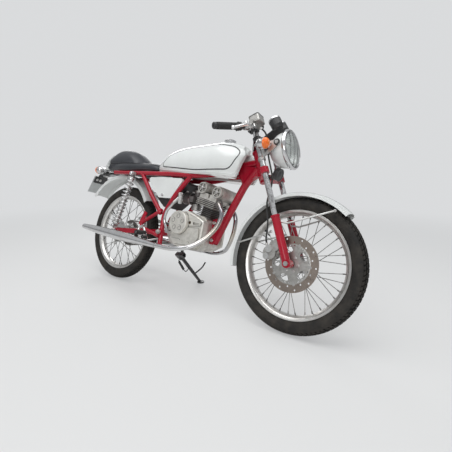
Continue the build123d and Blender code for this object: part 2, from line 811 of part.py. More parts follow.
# Turn signals: a bullet housing with a domed lens, drawn about its own axis
def signal_lamp(centre, facing):
    with BuildLine() as outline:
        Line((0, -32), (10, -30))
        dome((10, -30), (signal_radius, -2))
        Line((signal_radius, -2), (signal_radius, 6))
        dome((signal_radius, 6), (0, 29))
        Line((0, 29), (0, -32))
    lamp = Rot(90, 0, 0) * revolve(make_face(outline.line), Axis.Y)
    return Plane(origin=centre, x_dir=(0, 1, 0), z_dir=(facing, 0, 0)).location * lamp


front_signals = []
for side in (-1, 1):
    signal_point = (1006, side * 122, 807)
    lamp = signal_lamp(signal_point, 1)
    stalk_start = from_steering(leg_u, side * (fork_leg + 6), ear_high_w + 6)
    lamp += rod(stalk_start, (signal_point[0] - 20, side * 116, signal_point[2] - 2), 6)
    lamp -= nodes["headlight_brackets"]
    lamp -= nodes["fork_tubes"]
    front_signals.append(biggest(lamp))
add("front_signals", "steering", *front_signals)

# Horn under the headlight, on a strip from the lower bridge
horn_centre = (lamp_centre[0] - 49, 0, lamp_centre[2] - lamp_rim_radius - horn_radius + 5)
horn_plane = Plane(origin=horn_centre, x_dir=(0, 1, 0), z_dir=(math.cos(0.3), 0, math.sin(-0.3)))
horn = horn_plane * Cylinder(horn_radius, 20)
horn += horn_plane * (Pos(0, 0, -14) * Cylinder(horn_radius * 0.6, 12))
strip_end = from_steering(26, 0, lower_bridge_w + 10)
horn += rod(horn_centre, strip_end, 6)
horn -= nodes["lower_fork_bridge"]
add("horn", "steering", biggest(horn))

# Frame: head tube and backbone
head_low = lower_bridge_top + bearing_gap
head_high = upper_bridge_w - bearing_gap
head = rod((0, 0, head_low), (0, 0, head_high), head_tube_radius)
head += rod((0, 0, head_low), (0, 0, head_low + head_cup_height), head_cup_radius)
head += rod((0, 0, head_high - head_cup_height), (0, 0, head_high), head_cup_radius)
head_bore = rod((0, 0, head_low - 1), (0, 0, head_high + 1), stem_radius + running_clearance)
backbone_front = from_steering(0, 0, head_low + 77)
backbone_bend = (700, 0, 712)
backbone_end = (420, 0, 690)
backbone = bent_tube([backbone_front, backbone_bend, backbone_end], main_tube_radius, 160)
gusset_high = from_steering(-10, 0, head_low + 49)
gusset_low = from_steering(-10, 0, head_low + 11)
gusset_outline = [
    (gusset_high[0], gusset_high[2]),
    (gusset_low[0], gusset_low[2]),
    (862, 640),
    (806, 735),
]
gusset = side_plate(gusset_outline, -15, 15)
backbone_tube = to_machine * head + backbone + gusset - to_machine * head_bore
cross_reach = rail_half_spacing - rail_radius
cross_rail = rod((428, -cross_reach, 662), (428, cross_reach, 662), 11)
backbone_tube += cross_rail
add("frame_backbone", "frame", backbone_tube)

# Downtube from the head to the front of the crankcase, with its engine plates
down_tubes = bent_tube(
    [from_steering(-20, 0, head_low + 46), (868, 0, 634), (798, 0, 470), (744, 0, 330)],
    down_tube_radius,
    (200, 300),
)
engine_plate = side_plate([(case_front, 446), (case_front, 320), (746, 318), (800, 470)], -20, -14)
down_tubes += engine_plate + mirror(engine_plate, Plane.XZ)
down_tubes -= backbone_tube
add("frame_downtubes", "frame", biggest(down_tubes))

# Seat rails, joined behind the seat and at the middle
rails = None
for side in (-1, 1):
    points = [
        (-88, side * rail_half_spacing, 671),
        (420, side * rail_half_spacing, 667),
        (600, side * 72, 664),
        (820, side * 30, 690),
    ]
    rail = bent_tube(points, rail_radius, (400, 250))
    rails = rail if rails is None else rails + rail
rails += rod((-82, -rail_half_spacing, 678.5), (-82, rail_half_spacing, 678.5), 5)
rails -= backbone_tube
rails -= nodes["frame_downtubes"]
rails_solid = biggest(rails)
add("frame_seat_rails", "frame", rails_solid)

# Side tubes: from the rail down past the swingarm pivot, and the rear stays with the step hangers
side_tubes = []
rear_stays = []
pivot_x, pivot_z = swingarm_pivot
for side in (-1, 1):
    y = side * rail_half_spacing
    front = [(572, side * 78, 662), (492, y, 552), (428, y, 440), (pivot_x + 4, y, 360), (436, y, 262)]
    tube = bent_tube(front, rail_radius, (200, 140, 140))
    tube += disc((pivot_x, pivot_z), min(y - 12, y + 12), max(y - 12, y + 12), 20)
    tube -= disc((pivot_x, pivot_z), y - 30, y + 30, swingarm_pivot_radius + running_clearance)
    tube -= rails_solid
    side_tubes.append(biggest(tube))
    rear = [(186, y, 668), (300, y, 540), (404, y, 440)]
    stay = bent_tube(rear, rail_radius, 300)
    loop = [(408, y, 460), (246, side * 104, 356), (428, side * 100, 312)]
    stay += bent_tube(loop, hanger_radius, 18)
    tab = side_plate([(250, 362), (284, 442), (306, 434), (286, 366)], side * 104 - 3, side * 104 + 3)
    stay += tab
    stay -= side_tubes[-1]
    stay -= rails_solid
    rear_stays.append(biggest(stay))
add("frame_side_tubes", "frame", *side_tubes)
add("frame_rear_stays", "frame", *rear_stays)

# Swingarm: pivot tube, two arms, slotted axle plates and the lower shock pins
shock_bottom = (rear_axle[0] + 48, rear_axle[1] + 32)
shock_y = 118
arm_end_z = rear_axle[1] - 8
arm_width, arm_height = swingarm_tube
pivot_sleeve = 70
swingarm = disc(swingarm_pivot, -pivot_sleeve, pivot_sleeve, 17)
for side in (-1, 1):
    y = side * swingarm_half_spacing
    arm = [
        (pivot_x - 4, pivot_z + 14),
        (pivot_x - 4, pivot_z - 14),
        (24, arm_end_z),
        (24, arm_end_z + arm_height - 6),
    ]
    swingarm += side_plate(arm, y - arm_width / 2, y + arm_width / 2)
    plate_y = side * (swingarm_half_spacing + 4)
    plate = [(40, arm_end_z - 4), (40, arm_end_z + 32), (-26, arm_end_z + 26), (-26, arm_end_z - 8)]
    swingarm += side_plate(plate, plate_y - 4, plate_y + 4)
    lug_y = side * (shock_y + 15)
    swingarm += disc(shock_bottom, min(y, lug_y), max(y, lug_y), 9)
cross_brace = [(330, 345), (330, 318), (352, 320), (352, 347)]
swingarm += side_plate(cross_brace, -swingarm_half_spacing, swingarm_half_spacing)
pivot_bore = swingarm_pivot_radius + running_clearance
swingarm -= disc(swingarm_pivot, -pivot_sleeve - 20, pivot_sleeve + 20, pivot_bore)
swingarm -= disc(rear_axle, -120, 120, rear_axle_radius + running_clearance)
swingarm -= nodes["drive_chain"]
add("swingarm", "frame", biggest(swingarm))
pivot_bolt = disc(swingarm_pivot, -112, 112, swingarm_pivot_radius)
pivot_bolt += disc(swingarm_pivot, -114, -103, 11) + disc(swingarm_pivot, 103, 114, 11)
add("swingarm_pivot_bolt", "frame", pivot_bolt)

# Rear axle with its spacers, adjusters and nuts
rear_axle_solid = disc(rear_axle, -96, 96, rear_axle_radius)
rear_axle_solid += disc(rear_axle, -98, -swingarm_half_spacing - 12, 12)
rear_axle_solid += disc(rear_axle, swingarm_half_spacing + 12, 98, 12)
spacer_start = chain_y + sprocket_thickness / 2 + face_clearance
rear_axle_solid += disc(rear_axle, spacer_start, swingarm_half_spacing - 4, 11)
add("rear_axle", "frame", rear_axle_solid)

# Brake backing plate in the open side of the drum, with its cam lever
plate_radius = drum_radius - 9 - 1
brake_plate = disc(rear_axle, -46, -20, plate_radius)
brake_plate += disc(rear_axle, -swingarm_half_spacing + 12.5, -46, 18)
cam = point_at(40, 250, rear_axle)
brake_plate += disc(cam, -56, -46, 9)
lever_end = point_at(92, 262, rear_axle)
brake_plate += rod((cam[0], -52, cam[1]), (lever_end[0], -52, lever_end[1]), 5)
brake_plate -= disc(rear_axle, -90, 0, rear_axle_radius + running_clearance)
add("rear_brake_plate", "frame", brake_plate)

# Rear shock absorbers: damper bodies with eyes, and coil springs around them
shock_top = (135, 656)
shock_dampers = []
shock_springs = []
shock_run = Vector(shock_top[0] - shock_bottom[0], 0, shock_top[1] - shock_bottom[1])
shock_length = shock_run.length
coil_count = 12
spring_low = 26
spring_high = shock_length - 40
spring_radius = 21
spring_wire = 3.6
for side in (-1, 1):
    y = side * shock_y
    base = Plane(origin=(shock_bottom[0], y, shock_bottom[1]), z_dir=shock_run)
    damper = rod((0, 0, 14), (0, 0, 180), 15) + rod((0, 0, 170), (0, 0, shock_length - 12), 6)
    damper += rod((0, 0, 20), (0, 0, spring_low), 24)
    damper += rod((0, 0, spring_high), (0, 0, shock_length - 20), 24)
    damper = base.location * damper
    damper += disc(shock_bottom, y - 11, y + 11, 15)
    damper += disc(shock_top, y - 11, y + 11, 15)
    damper -= disc(shock_bottom, y - 20, y + 20, 9.2)
    damper -= disc(shock_top, y - 20, y + 20, 9.2)
    shock_dampers.append(damper)
    height = spring_high - spring_low - spring_wire * 2 - 0.4
    helix = Helix(height / coil_count, height, spring_radius)
    wire = Plane(origin=helix @ 0, z_dir=helix % 0) * Circle(spring_wire)
    coil = sweep(wire, path=helix, is_frenet=True)
    shock_springs.append(base.location * (Pos(0, 0, spring_low + spring_wire + 0.2) * coil))
add("shock_dampers", "frame", *shock_dampers)
add("shock_springs", "frame", *shock_springs)
mount_pins = None
for side in (-1, 1):
    low = min(side * (rail_half_spacing - 2), side * 134)
    high = max(side * (rail_half_spacing - 2), side * 134)
    pin = disc(shock_top, low, high, 9) + disc(shock_top, side * 132 - 3, side * 132 + 3, 13)
    mount_pins = [pin - rails_solid] if mount_pins is None else mount_pins + [pin - rails_solid]
add("shock_top_pins", "frame", *[biggest(pin) for pin in mount_pins])

# Engine: crankcase with the output shaft
case_outline = [
    (462, 420),
    (456, 340),
    (486, 292),
    (560, 274),
    (690, 274),
    (case_front, 300),
    (case_front, 440),
    (700, 452),
    (560, 468),
    (492, 452),
]
crankcase = side_plate(case_outline, -70, 66)
crankcase = fillet(crankcase.edges().filter_by(Axis.Y), 14)
chain_side = side_plate([(440, 520), (440, 280), (572, 268), (572, 460), (560, 520)], 36, 80)
crankcase -= chain_side
crankcase += disc(output_shaft, 30, chain_y + 8, 10)
front_sprocket = sprocket(front_teeth, output_shaft, 6)
crankcase += front_sprocket
crankcase -= swingarm
add("crankcase", "frame", biggest(crankcase))

# Right cover with the round clutch housing and its five lobes
right_outline = [
    (518, 452),
    (520, 318),
    (560, 284),
    (672, 283),
    (734, 322),
    (738, 424),
    (690, 446),
    (620, 470),
]
cover_right_y = -112
right_cover = side_plate(right_outline, cover_right_y, -70)
right_cover = fillet(right_cover.edges().filter_by(Axis.Y), 16)
right_cover = fillet(right_cover.faces().sort_by(Axis.Y)[0].edges(), 7)
clutch = disc(clutch_centre, -140, -100, clutch_radius)
clutch = fillet(clutch.faces().sort_by(Axis.Y)[0].edges(), 6)
for index in range(5):
    lobe = point_at(33, 90 + index * 72, clutch_centre)
    clutch += disc(lobe, -142.5, -138, 12) - disc((lobe[0] + 2, lobe[1] - 2), -143, -140.5, 9.5)
# Stepped pads, the oil window, the slot beside it and the drain plug of the right cover
upper_pad = side_plate([(640, 450), (700, 436), (727, 420), (722, 400), (650, 394), (628, 420)], -117, -110)
lower_pad = side_plate([(602, 330), (640, 384), (716, 386), (722, 340), (700, 300), (620, 294)], -119, -110)
rim_pad = side_plate([(536, 320), (600, 318), (640, 296), (566, 292)], -118, -110)
right_cover += fillet(upper_pad.edges().filter_by(Axis.Y), 4) + fillet(lower_pad.edges().filter_by(Axis.Y), 6)
right_cover += fillet(rim_pad.edges().filter_by(Axis.Y), 3)
right_cover += disc((663, 300), -124, -110, 12) + clutch
right_cover -= disc((652, 410), -122, -113, 9)
right_cover -= side_plate([(674, 414), (715, 412), (715, 402), (674, 403)], -122, -109)
add("clutch_cover", "frame", right_cover)

# Left covers: generator housing and the shield over the output sprocket
generator = disc((655, 385), 66, 108, 58)
generator = fillet(generator.faces().sort_by(Axis.Y)[-1].edges(), 10)
generator += side_plate([(590, 440), (590, 300), (690, 284), (735, 310), (735, 430), (660, 445)], 66, 84)
shield = side_plate([(478, 400), (474, 300), (590, 300), (590, 400)], 60, 72)
generator += shield
generator -= crankcase
generator -= nodes["drive_chain"]
add("generator_cover", "frame", biggest(generator))

# Barrel and head lean forward together; both are drawn square on and then tilted
barrel_frame = Pos(barrel_base[0], 0, barrel_base[1]) * Rot(0, barrel_tilt_deg, 0)
barrel_height = barrel_fin_count * fin_pitch + 3
barrel = Pos(fin_shift, 0, barrel_height / 2) * Box(68, 80, barrel_height)
for index in range(barrel_fin_count):
    fin_z = 8 + index * fin_pitch
    barrel += Pos(fin_shift, 0, fin_z) * Box(barrel_fin_length, barrel_fin_width, fin_thickness)
barrel -= barrel_frame.inverse() * nodes["crankcase"]
add("cylinder_barrel", "frame", barrel_frame * barrel - nodes["frame_downtubes"])

# The head's fins and side plate reach further right, where the cam gears run
head_base = barrel_height
head_middle_y = (head_right_y + head_left_y) / 2
head_width = head_left_y - head_right_y
plate_base = head_base + head_fin_count * fin_pitch
plate_top = cam_height - 20
head_block = Pos(fin_shift, 0, (head_base + plate_base) / 2) * Box(92, 96, plate_base - head_base)
for index in range(head_fin_count):
    fin_z = head_base + 4 + index * fin_pitch
    head_block += Pos(fin_shift, head_middle_y, fin_z) * Box(head_fin_length, head_width, fin_thickness)
plate_middle = (plate_base + plate_top) / 2
head_block += Pos(0, head_middle_y, plate_middle) * Box(112, head_width, plate_top - plate_base)
cam_spacing = 50
inlet_height = cam_height - 36
for cam_x in (-cam_spacing, cam_spacing):
    head_block += rod((cam_x, -72, cam_height), (cam_x, 72, cam_height), cam_cover_radius + 4)
    head_block += rod((cam_x, head_right_y - 8, cam_height), (cam_x, 80, cam_height), cam_cover_radius)
for cam_x in (-cam_spacing, cam_spacing):
    # A recessed star of five spokes in each cam cover
    cover_end = Plane(origin=(cam_x, head_right_y - 8, cam_height), x_dir=(1, 0, 0), z_dir=(0, -1, 0))
    star = Cylinder(cam_cover_radius - 6, 10)
    for index in range(5):
        star -= Rot(0, 0, 18 + 72 * index) * (Pos(12, 0, 0) * Box(26, 5, 12))
    star -= Cylinder(8, 12)
    head_block -= cover_end.location * star
    head_block += cover_end.location * (Pos(0, 0, 1) * Cylinder(7, 6))
slot_plane = Plane(origin=(5, head_right_y, plate_base + 22), x_dir=(1, 0, 0), z_dir=(0, -1, 0))
head_block -= extrude(slot_plane * Ellipse(7, 12), 10, both=True)
head_block += rod((-46, 0, inlet_height), (-72, 0, inlet_height), 22)
for port_y in (-port_half_spacing, port_half_spacing):
    mouth_y = port_y * port_splay
    head_block += rod((36, port_y, port_height), (port_reach, mouth_y, port_height), 17)
add("cylinder_head", "frame", barrel_frame * head_block)

# Carburettor and its intake, behind the head
intake_start = (barrel_frame * Pos(-72, 0, inlet_height)).position
carb = rod((intake_start.X, 0, intake_start.Z), (604, 0, 548), 21)
carb += rod((604, 0, 548), (548, 0, 548), 25)
carb += rod((576, 0, 500), (576, 0, 590), 20) + rod((576, 0, 488), (576, 0, 516), 26)
carb += rod((548, 0, 548), (490, 0, 552), 33)
carb += Pos(576, -34, 540) * Box(30, 40, 30)
carb -= barrel_frame * head_block
add("carburettor", "frame", biggest(carb))

# Airbox and battery tray between the side tubes
airbox = side_plate([(286, 640), (520, 640), (452, 520), (400, 478), (330, 530)], -70, 70)
airbox = fillet(airbox.edges().filter_by(Axis.Y), 12)
airbox += rod((452, 0, 556), (492, 0, 552), 30)
airbox -= carb
add("airbox", "frame", biggest(airbox))

# Kick lever, stood up beside the clutch cover
kick_boss = (522, 350)
kick = disc(kick_boss, -142, cover_right_y, 12)
kick_path = [
    (kick_boss[0], -136, kick_boss[1]),
    (492, -142, 403),
    (507, -150, 452),
    (553, -157, 495),
    (612, -162, 540),
]
kick += bent_tube(kick_path, 7, 55)
kick += rod((612, -170, 540), (592, -150, 500), 8)
kick -= right_cover
kick = biggest(kick)
add("kick_lever", "frame", kick)

# Exhausts: header, then a megaphone with a reversed cone, one each side
# Each row gives a distance from the front of the megaphone and the radius there
megaphone = ((0, 13), (110, 18), (210, 23.5), (300, 26), (430, 25), (560, 20), (646, 15.5))
header_end = Vector(509, -190, 266)
tail_end = Vector(tail_pipe_end_x, -202, 294)
muffler_run = tail_end - header_end
muffler_plane = Plane(origin=header_end, z_dir=muffler_run)
scale_to_run = muffler_run.length / megaphone[-1][0]
bore_depth = 40
muffler_outline = [(0, 0)] + [(radius, distance * scale_to_run) for distance, radius in megaphone]
muffler_outline += [
    (megaphone[-1][1] - 2, muffler_run.length),
    (megaphone[-1][1] - 2, muffler_run.length - bore_depth),
    (0, muffler_run.length - bore_depth),
]
muffler = revolve(make_face(Polyline(*muffler_outline, close=True)), Axis.Y)
muffler = muffler_plane.location * (Rot(90, 0, 0) * muffler)
port = (barrel_frame * Pos(port_reach, -port_half_spacing * port_splay, port_height)).position
header_route = [
    (port.X, port.Y, port.Z),
    (806, -63, 478),
    (800, -76, 412),
    (768, -106, 348),
    (712, -152, 288),
    (616, -184, 264),
    tuple(header_end),
]
header = smooth_tube(header_route, header_radius)
exhaust = header + muffler
hanger = rod((404, -190, 272), (430, -104, 300), 5)
exhaust += hanger
exhaust -= nodes["cylinder_head"]
for blocker in ("frame_rear_stays", "frame_side_tubes", "swingarm_pivot_bolt"):
    exhaust -= nodes[blocker]
exhaust = biggest(exhaust)
add("exhausts", "frame", exhaust, mirror(exhaust, Plane.XZ))

# Footrests and pedals
footrests = []
for side in (-1, 1):
    peg = rod((330, side * 108, 318), (330, side * 178, 316), 10)
    peg += rod((330, side * 112, 318), (306, side * 112, 352), 7)
    pedal = bent_tube([(306, side * 118, 352), (246, side * 124, 344), (374, side * 140, 296)], 6.5, 14)
    peg += pedal + rod((374, side * 132, 296), (374, side * 166, 296), 7)
    peg += rod((306, side * 106, 352), (306, side * 124, 352), 9)
    peg -= nodes["frame_rear_stays"]
    footrests.append(biggest(peg))
add("footrests", "frame", *footrests)

# Fuel tank
# Columns: x, half base, half width, base z, widest z, shoulder z, top z
tank_stations = (
    (300, 60, 68, 688, 698, 734, 758),
    (350, 74, 84, 684, 702, 766, 800),
    (490, 86, 100, 676, 706, 796, 840),
    (680, 98, 114, 668, 706, 806, 852),
    (800, 102, 118, 662, 704, 804, 848),
    (870, 92, 106, 660, 704, 790, 830),
    (930, 70, 82, 662, 706, 770, 804),
)
tank = loft([bread_section(*row) for row in tank_stations])
# The front is cut off along a slant and hollowed round the frame's head
tank -= side_plate([(930, 850), (858, 640), (858, 560), (1000, 560), (1000, 850)], -200, 200)
tunnel_top_z = backbone_front[2] + 106
tunnel_outline = [
    (250, backbone_bend[2] + 13),
    (backbone_bend[0] + 60, backbone_bend[2] + 40),
    (960, tunnel_top_z),
    (960, 600),
    (250, 600),
]
tunnel = side_plate(tunnel_outline, -34, 34)
front_pocket = side_plate([(832, 600), (832, 690), (872, 770), (1000, 770), (1000, 600)], -80, 80)
tank = tank - tunnel - front_pocket
tank -= nodes["frame_seat_rails"]
tank -= rod(from_steering(0, 0, lower_bridge_w), from_steering(0, 0, tube_top_w), 62)
# The upper bridge's bosses swing this far back at full lock, with room to spare
boss_angle = math.atan2(fork_leg, leg_u) + math.radians(steering_lock_deg)
boss_reach = math.hypot(leg_u, fork_leg)
boss_back_u = boss_reach * math.cos(boss_angle) - 26
boss_sweep = rod((0, 0, upper_bridge_w - 6), (0, 0, upper_bridge_top + 6), boss_reach + 26)
boss_sweep &= Pos(boss_back_u + 200, 0, upper_bridge_w) * Box(400, 400, 400)
tank -= to_machine * boss_sweep
# The fork tubes pass close to the tank's front corners at full lock
tube_room = fork_tube_radius + 7
tube_sweep = rod((0, 0, lower_bridge_w), (0, 0, upper_bridge_w), boss_reach + tube_room)
tube_sweep -= rod((0, 0, lower_bridge_w - 1), (0, 0, upper_bridge_w + 1), boss_reach - tube_room)
tube_sweep &= Pos(boss_reach * math.cos(boss_angle) - tube_room + 200, 0, lower_bridge_w) * Box(400, 400, 600)
tank -= to_machine * tube_sweep
tank = biggest(tank)
add("fuel_tank", "frame", tank)
cap_centre = (735, 0, 846)
cap = rod(cap_centre, (733, 0, 868), 28) + rod((733, 0, 868), (733, 0, 874), 24)
cap -= tank
add("fuel_cap", "frame", biggest(cap))

# Seat with its rear hump, and the cowl round the hump's back
# Columns as for the tank
cushion_stations = (
    (303, 56, 64, 688, 696, 708, 718),
    (285, 72, 80, 684, 692, 722, 735),
    (230, 82, 92, 684, 694, 731, 747),
    (100, 90, 99, 684, 696, 734, 754),
    (-60, 93, 101, 684, 696, 734, 754),
    (-176, 88, 96, 684, 696, 734, 752),
)
hump_stations = (
    (108, 50, 62, 728, 734, 746, 762),
    (84, 74, 82, 724, 730, 762, 786),
    (40, 87, 93, 722, 728, 784, 818),
    (-20, 91, 97, 722, 728, 797, 838),
    (-83, 92, 98, 722, 728, 799, 843),
    (-140, 90, 95, 722, 728, 786, 830),
    (-176, 86, 91, 722, 728, 766, 808),
)
seat = loft([bread_section(*row) for row in cushion_stations])
seat += loft([bread_section(*row) for row in hump_stations])
seat = seat - tank - nodes["frame_seat_rails"]
add("seat", "frame", biggest(seat))
cowl_stations = (
    (-177, 88, 95, 688, 698, 768, 810),
    (-205, 80, 87, 689, 698, 750, 789),
    (-238, 60, 66, 691, 700, 722, 744),
    (-251, 42, 48, 694, 702, 710, 722),
)
cowl = loft([bread_section(*row) for row in cowl_stations])
add("seat_cowl", "frame", cowl)

# Side covers between the side tubes
cover_outline = [(240, 646), (536, 644), (458, 530), (362, 530)]
covers = []
for side in (-1, 1):
    y_low = min(side * 74, side * 92)
    cover = side_plate(cover_outline, y_low, y_low + 18)
    cover = fillet(cover.edges().filter_by(Axis.Y), 14)
    cover -= nodes["frame_side_tubes"]
    cover -= nodes["frame_rear_stays"]
    covers.append(biggest(cover))
add("side_covers", "frame", *covers)

# Rear fender, tail lamp with its bracket, blank plate and rear turn signals
rear_fender = fender(rear_fender_radius, rear_fender_half_width, 22, 32, 147, rear_fender_centre)
rear_fender -= airbox
rear_fender -= swingarm
rear_fender -= nodes["drive_chain"]
rear_fender = biggest(rear_fender)
add("rear_fender", "frame", rear_fender)

tail_centre = (-338, 0, 694)
tail = Plane(origin=tail_centre, x_dir=(0, 1, 0), z_dir=(-1, 0, 0)) * Cylinder(tail_lamp_radius, 46)
tail = fillet(tail.faces().sort_by(Axis.X)[0].edges(), 9)
tail_bracket = [(-352, 662), (-200, 672), (-200, tail_centre[2] - 8), (-300, tail_centre[2] + 8)]
tail += side_plate(tail_bracket, -30, 30)
tail += side_plate([(-394, 612), (-388, 612), (-340, 668), (-352, 668)], -34, 34)
for side in (-1, 1):
    tail += rod((-272, side * 28, tail_centre[2] - 8), (-272, side * 62, tail_centre[2] - 8), 6)
    signal = signal_lamp((-276, side * 84, tail_centre[2] - 8), -1)
    tail += signal
tail = tail - rear_fender - cowl
add("tail_lights", "frame", biggest(tail))
plate_board = side_plate([(-360, 652), (-363, 654), (-421, 538), (-418, 536)], -60, 60)
plate_board -= nodes["tail_lights"]
add("number_plate", "frame", biggest(plate_board))

# Chain guard over the upper run
guard = side_plate([(40, 392), (330, 388), (330, 400), (150, 420), (40, 406)], 60, 63)
guard += side_plate([(40, 404), (150, 418), (330, 398), (330, 401), (150, 421), (40, 407)], 42, 63)
guard += rod((200, 62, 396), (200, 70, 330), 4)
guard -= nodes["swingarm"]
guard -= nodes["drive_chain"]
add("chain_guard", "frame", biggest(guard))

# Side stand: bracket with its bolt on the frame, and the leg with foot, tang and spring
lean = math.radians(lean_deg)
raise_height = crown_radius * (1 - math.cos(lean))
foot_x, foot_y = stand_foot
ground_slope = math.tan(lean)


def ground_z(y):
    """The height of the floor under a point of the upright machine."""
    return y * ground_slope - raise_height / math.cos(lean)


foot_point = Vector(foot_x, foot_y, ground_z(foot_y))
pivot_point = Vector(*stand_pivot)
leg_direction = (foot_point - pivot_point).normalized()
stowed = Vector(*stand_stowed_direction).normalized()
stand_axis = leg_direction.cross(stowed).normalized()
stand_travel_deg = leg_direction.get_angle(stowed)
stand_plane = Plane(origin=stand_pivot, x_dir=leg_direction, z_dir=stand_axis)
leg_length = (foot_point - pivot_point).length
stand_place = stand_plane.location

pad_half_thickness = 5
leg = rod((24, 0, 0), (leg_length - 8, 0, 0), stand_leg_radius)
leg += rod((0, 0, -6), (0, 0, 6), 17) + Pos(20, 0, 0) * Box(36, 22, 12)
leg += rod((leg_length * 0.3, 12, 8), (leg_length * 0.62, 12, 8), 5)
leg += rod((leg_length * 0.3, 0, 4), (leg_length * 0.3, 14, 8), 4)
leg += rod((leg_length * 0.62, 0, 4), (leg_length * 0.62, 14, 8), 4)
leg -= rod((0, 0, -30), (0, 0, 30), stand_pin_radius + running_clearance)
leg = stand_place * leg
foot_plane = Plane(
    origin=tuple(foot_point), x_dir=(1, 0, 0), z_dir=(0, -math.sin(lean), math.cos(lean))
)
pad = foot_plane.location * (Pos(0, 0, pad_half_thickness) * Cylinder(22, 2 * pad_half_thickness))
pad_cut = foot_plane.location * (Pos(0, 0, -50) * Box(200, 200, 100))
tang_start = pivot_point + leg_direction * leg_length * 0.66
tang_points = [tuple(tang_start), (532, 200, 172), (536, 214, 200)]
leg += pad
leg += bent_tube(tang_points, 4.5, 16)
leg -= pad_cut
add("side_stand", "side_stand", leg)

bracket = stand_place * (rod((0, 0, -14), (0, 0, 14), stand_pin_radius) + rod((0, 0, -14), (0, 0, -6.5), 10))
bracket += stand_place * rod((0, 0, 7), (0, 0, 15), 18)
bracket += rod(tuple(stand_plane.from_local_coords(Vector(-2, 0, 13))), (437, 90, 274), 9)
bracket -= nodes["frame_side_tubes"]
add("stand_bracket", "frame", biggest(bracket))


# Lean the machine onto its stand and set its origin under the middle of its bounding box
lean_over = Pos(0, 0, raise_height) * Rot(-lean_deg, 0, 0)
leaned = {name: shape.moved(lean_over) for name, shape in nodes.items()}
low = Vector(1e9, 1e9, 1e9)
high = Vector(-1e9, -1e9, -1e9)
for shape in leaned.values():
    box = shape.bounding_box()
    low = Vector(min(low.X, box.min.X), min(low.Y, box.min.Y), min(low.Z, box.min.Z))
    high = Vector(max(high.X, box.max.X), max(high.Y, box.max.Y), max(high.Z, box.max.Z))
shift = Vector(-(low.X + high.X) / 2, -(low.Y + high.Y) / 2, -low.Z)
place = Pos(*shift) * lean_over

os.makedirs("parts", exist_ok=True)
for name, shape in nodes.items():
    export_step(shape.moved(place), f"parts/{name}.step")


def placed(point):
    """Where a point of the upright machine ends up, in metres."""
    spot = (place * Pos(*point)).position
    return [round(value / 1000, 6) for value in spot]


def turned_direction(direction):
    """Where a direction of the upright machine ends up pointing."""
    start = (place * Pos(0, 0, 0)).position
    tip = (place * Pos(*(Vector(*direction) * 1000))).position
    return [round(value / 1000, 7) for value in tip - start]


seat_x, seat_y, seat_z = from_steering(*mirror_seat)
root_x, root_y, root_z = from_steering(*(mirror_seat - mirror_boss))
left_mirror_seat = (seat_x, -seat_y, seat_z)
mirror_axis = turned_direction(Vector(seat_x - root_x, seat_y - root_y, seat_z - root_z).normalized())
left_mirror_axis = turned_direction(Vector(seat_x - root_x, root_y - seat_y, seat_z - root_z).normalized())
print("size", high - low, "shift", shift, "low", low)
print(
    json.dumps(
        {
            "bodies": bodies,
            "steering": [placed(from_steering(0, 0, 820)), turned_direction(steering_plane.z_dir)],
            "front_axle": [placed((front_axle[0], 0, front_axle[1])), turned_direction((0, 1, 0))],
            "rear_axle": [placed((rear_axle[0], 0, rear_axle[1])), turned_direction((0, 1, 0))],
            "stand": [placed(stand_pivot), turned_direction(stand_axis)],
            "stand_travel_deg": round(stand_travel_deg, 2),
            "steering_lock_deg": steering_lock_deg,
            "mirror_seat": [placed(from_steering(*mirror_seat)), mirror_axis],
            "left_mirror_seat": [placed(left_mirror_seat), left_mirror_axis],
        }
    )
)
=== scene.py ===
import json
import math

import bmesh
import bpy
from mathutils import Matrix, Vector
from mathutils.bvhtree import BVHTree


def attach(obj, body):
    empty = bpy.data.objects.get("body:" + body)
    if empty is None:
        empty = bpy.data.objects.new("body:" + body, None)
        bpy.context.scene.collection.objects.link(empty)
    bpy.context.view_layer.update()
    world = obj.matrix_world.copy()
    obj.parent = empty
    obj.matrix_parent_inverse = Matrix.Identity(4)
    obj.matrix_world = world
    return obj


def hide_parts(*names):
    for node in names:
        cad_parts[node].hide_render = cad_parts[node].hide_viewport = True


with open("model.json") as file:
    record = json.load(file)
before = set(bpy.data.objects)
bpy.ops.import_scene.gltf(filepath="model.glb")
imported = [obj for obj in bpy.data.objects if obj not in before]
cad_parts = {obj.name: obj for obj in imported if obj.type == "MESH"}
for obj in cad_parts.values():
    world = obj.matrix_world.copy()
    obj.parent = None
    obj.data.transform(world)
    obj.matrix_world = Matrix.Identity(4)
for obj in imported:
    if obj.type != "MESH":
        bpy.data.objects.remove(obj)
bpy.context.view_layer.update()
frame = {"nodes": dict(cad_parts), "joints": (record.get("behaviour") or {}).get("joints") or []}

# Floor, lamps and camera
# A plain pale studio floor under the parked machine, lit by one broad soft lamp above, a fill beside
# the camera and a pale room all round. The camera stands at the photograph's viewpoint.
camera_spot = (1.1834, -1.3564, 0.6968)
camera_yaw = math.radians(-35.949)
camera_pitch = math.radians(-10.358)
camera_roll = math.radians(0.234)
sensor_width = 36.0
focal_length = 24.92
camera_near_clip = 0.05
floor_reach = 60
floor_roughness = 0.55
floor_colour = (0.80, 0.80, 0.79, 1)
room_colour = (0.86, 0.88, 0.90, 1)
backdrop_colour = (0.70, 0.71, 0.72, 1)
# Each row gives a lamp's name, its place, what it faces, its two sides and its power in watts
soft_lamps = (
    ("ceiling_lamp", (0.2, -0.4, 3.0), (0, 0, 0.3), (3.6, 2.2), 58),
    ("side_lamp", (1.6, -3.2, 1.6), (0, 0, 0.5), (2.2, 1.4), 30),
    ("back_lamp", (-2.6, 2.4, 1.9), (0, 0, 0.5), (2.0, 1.2), 24),
)


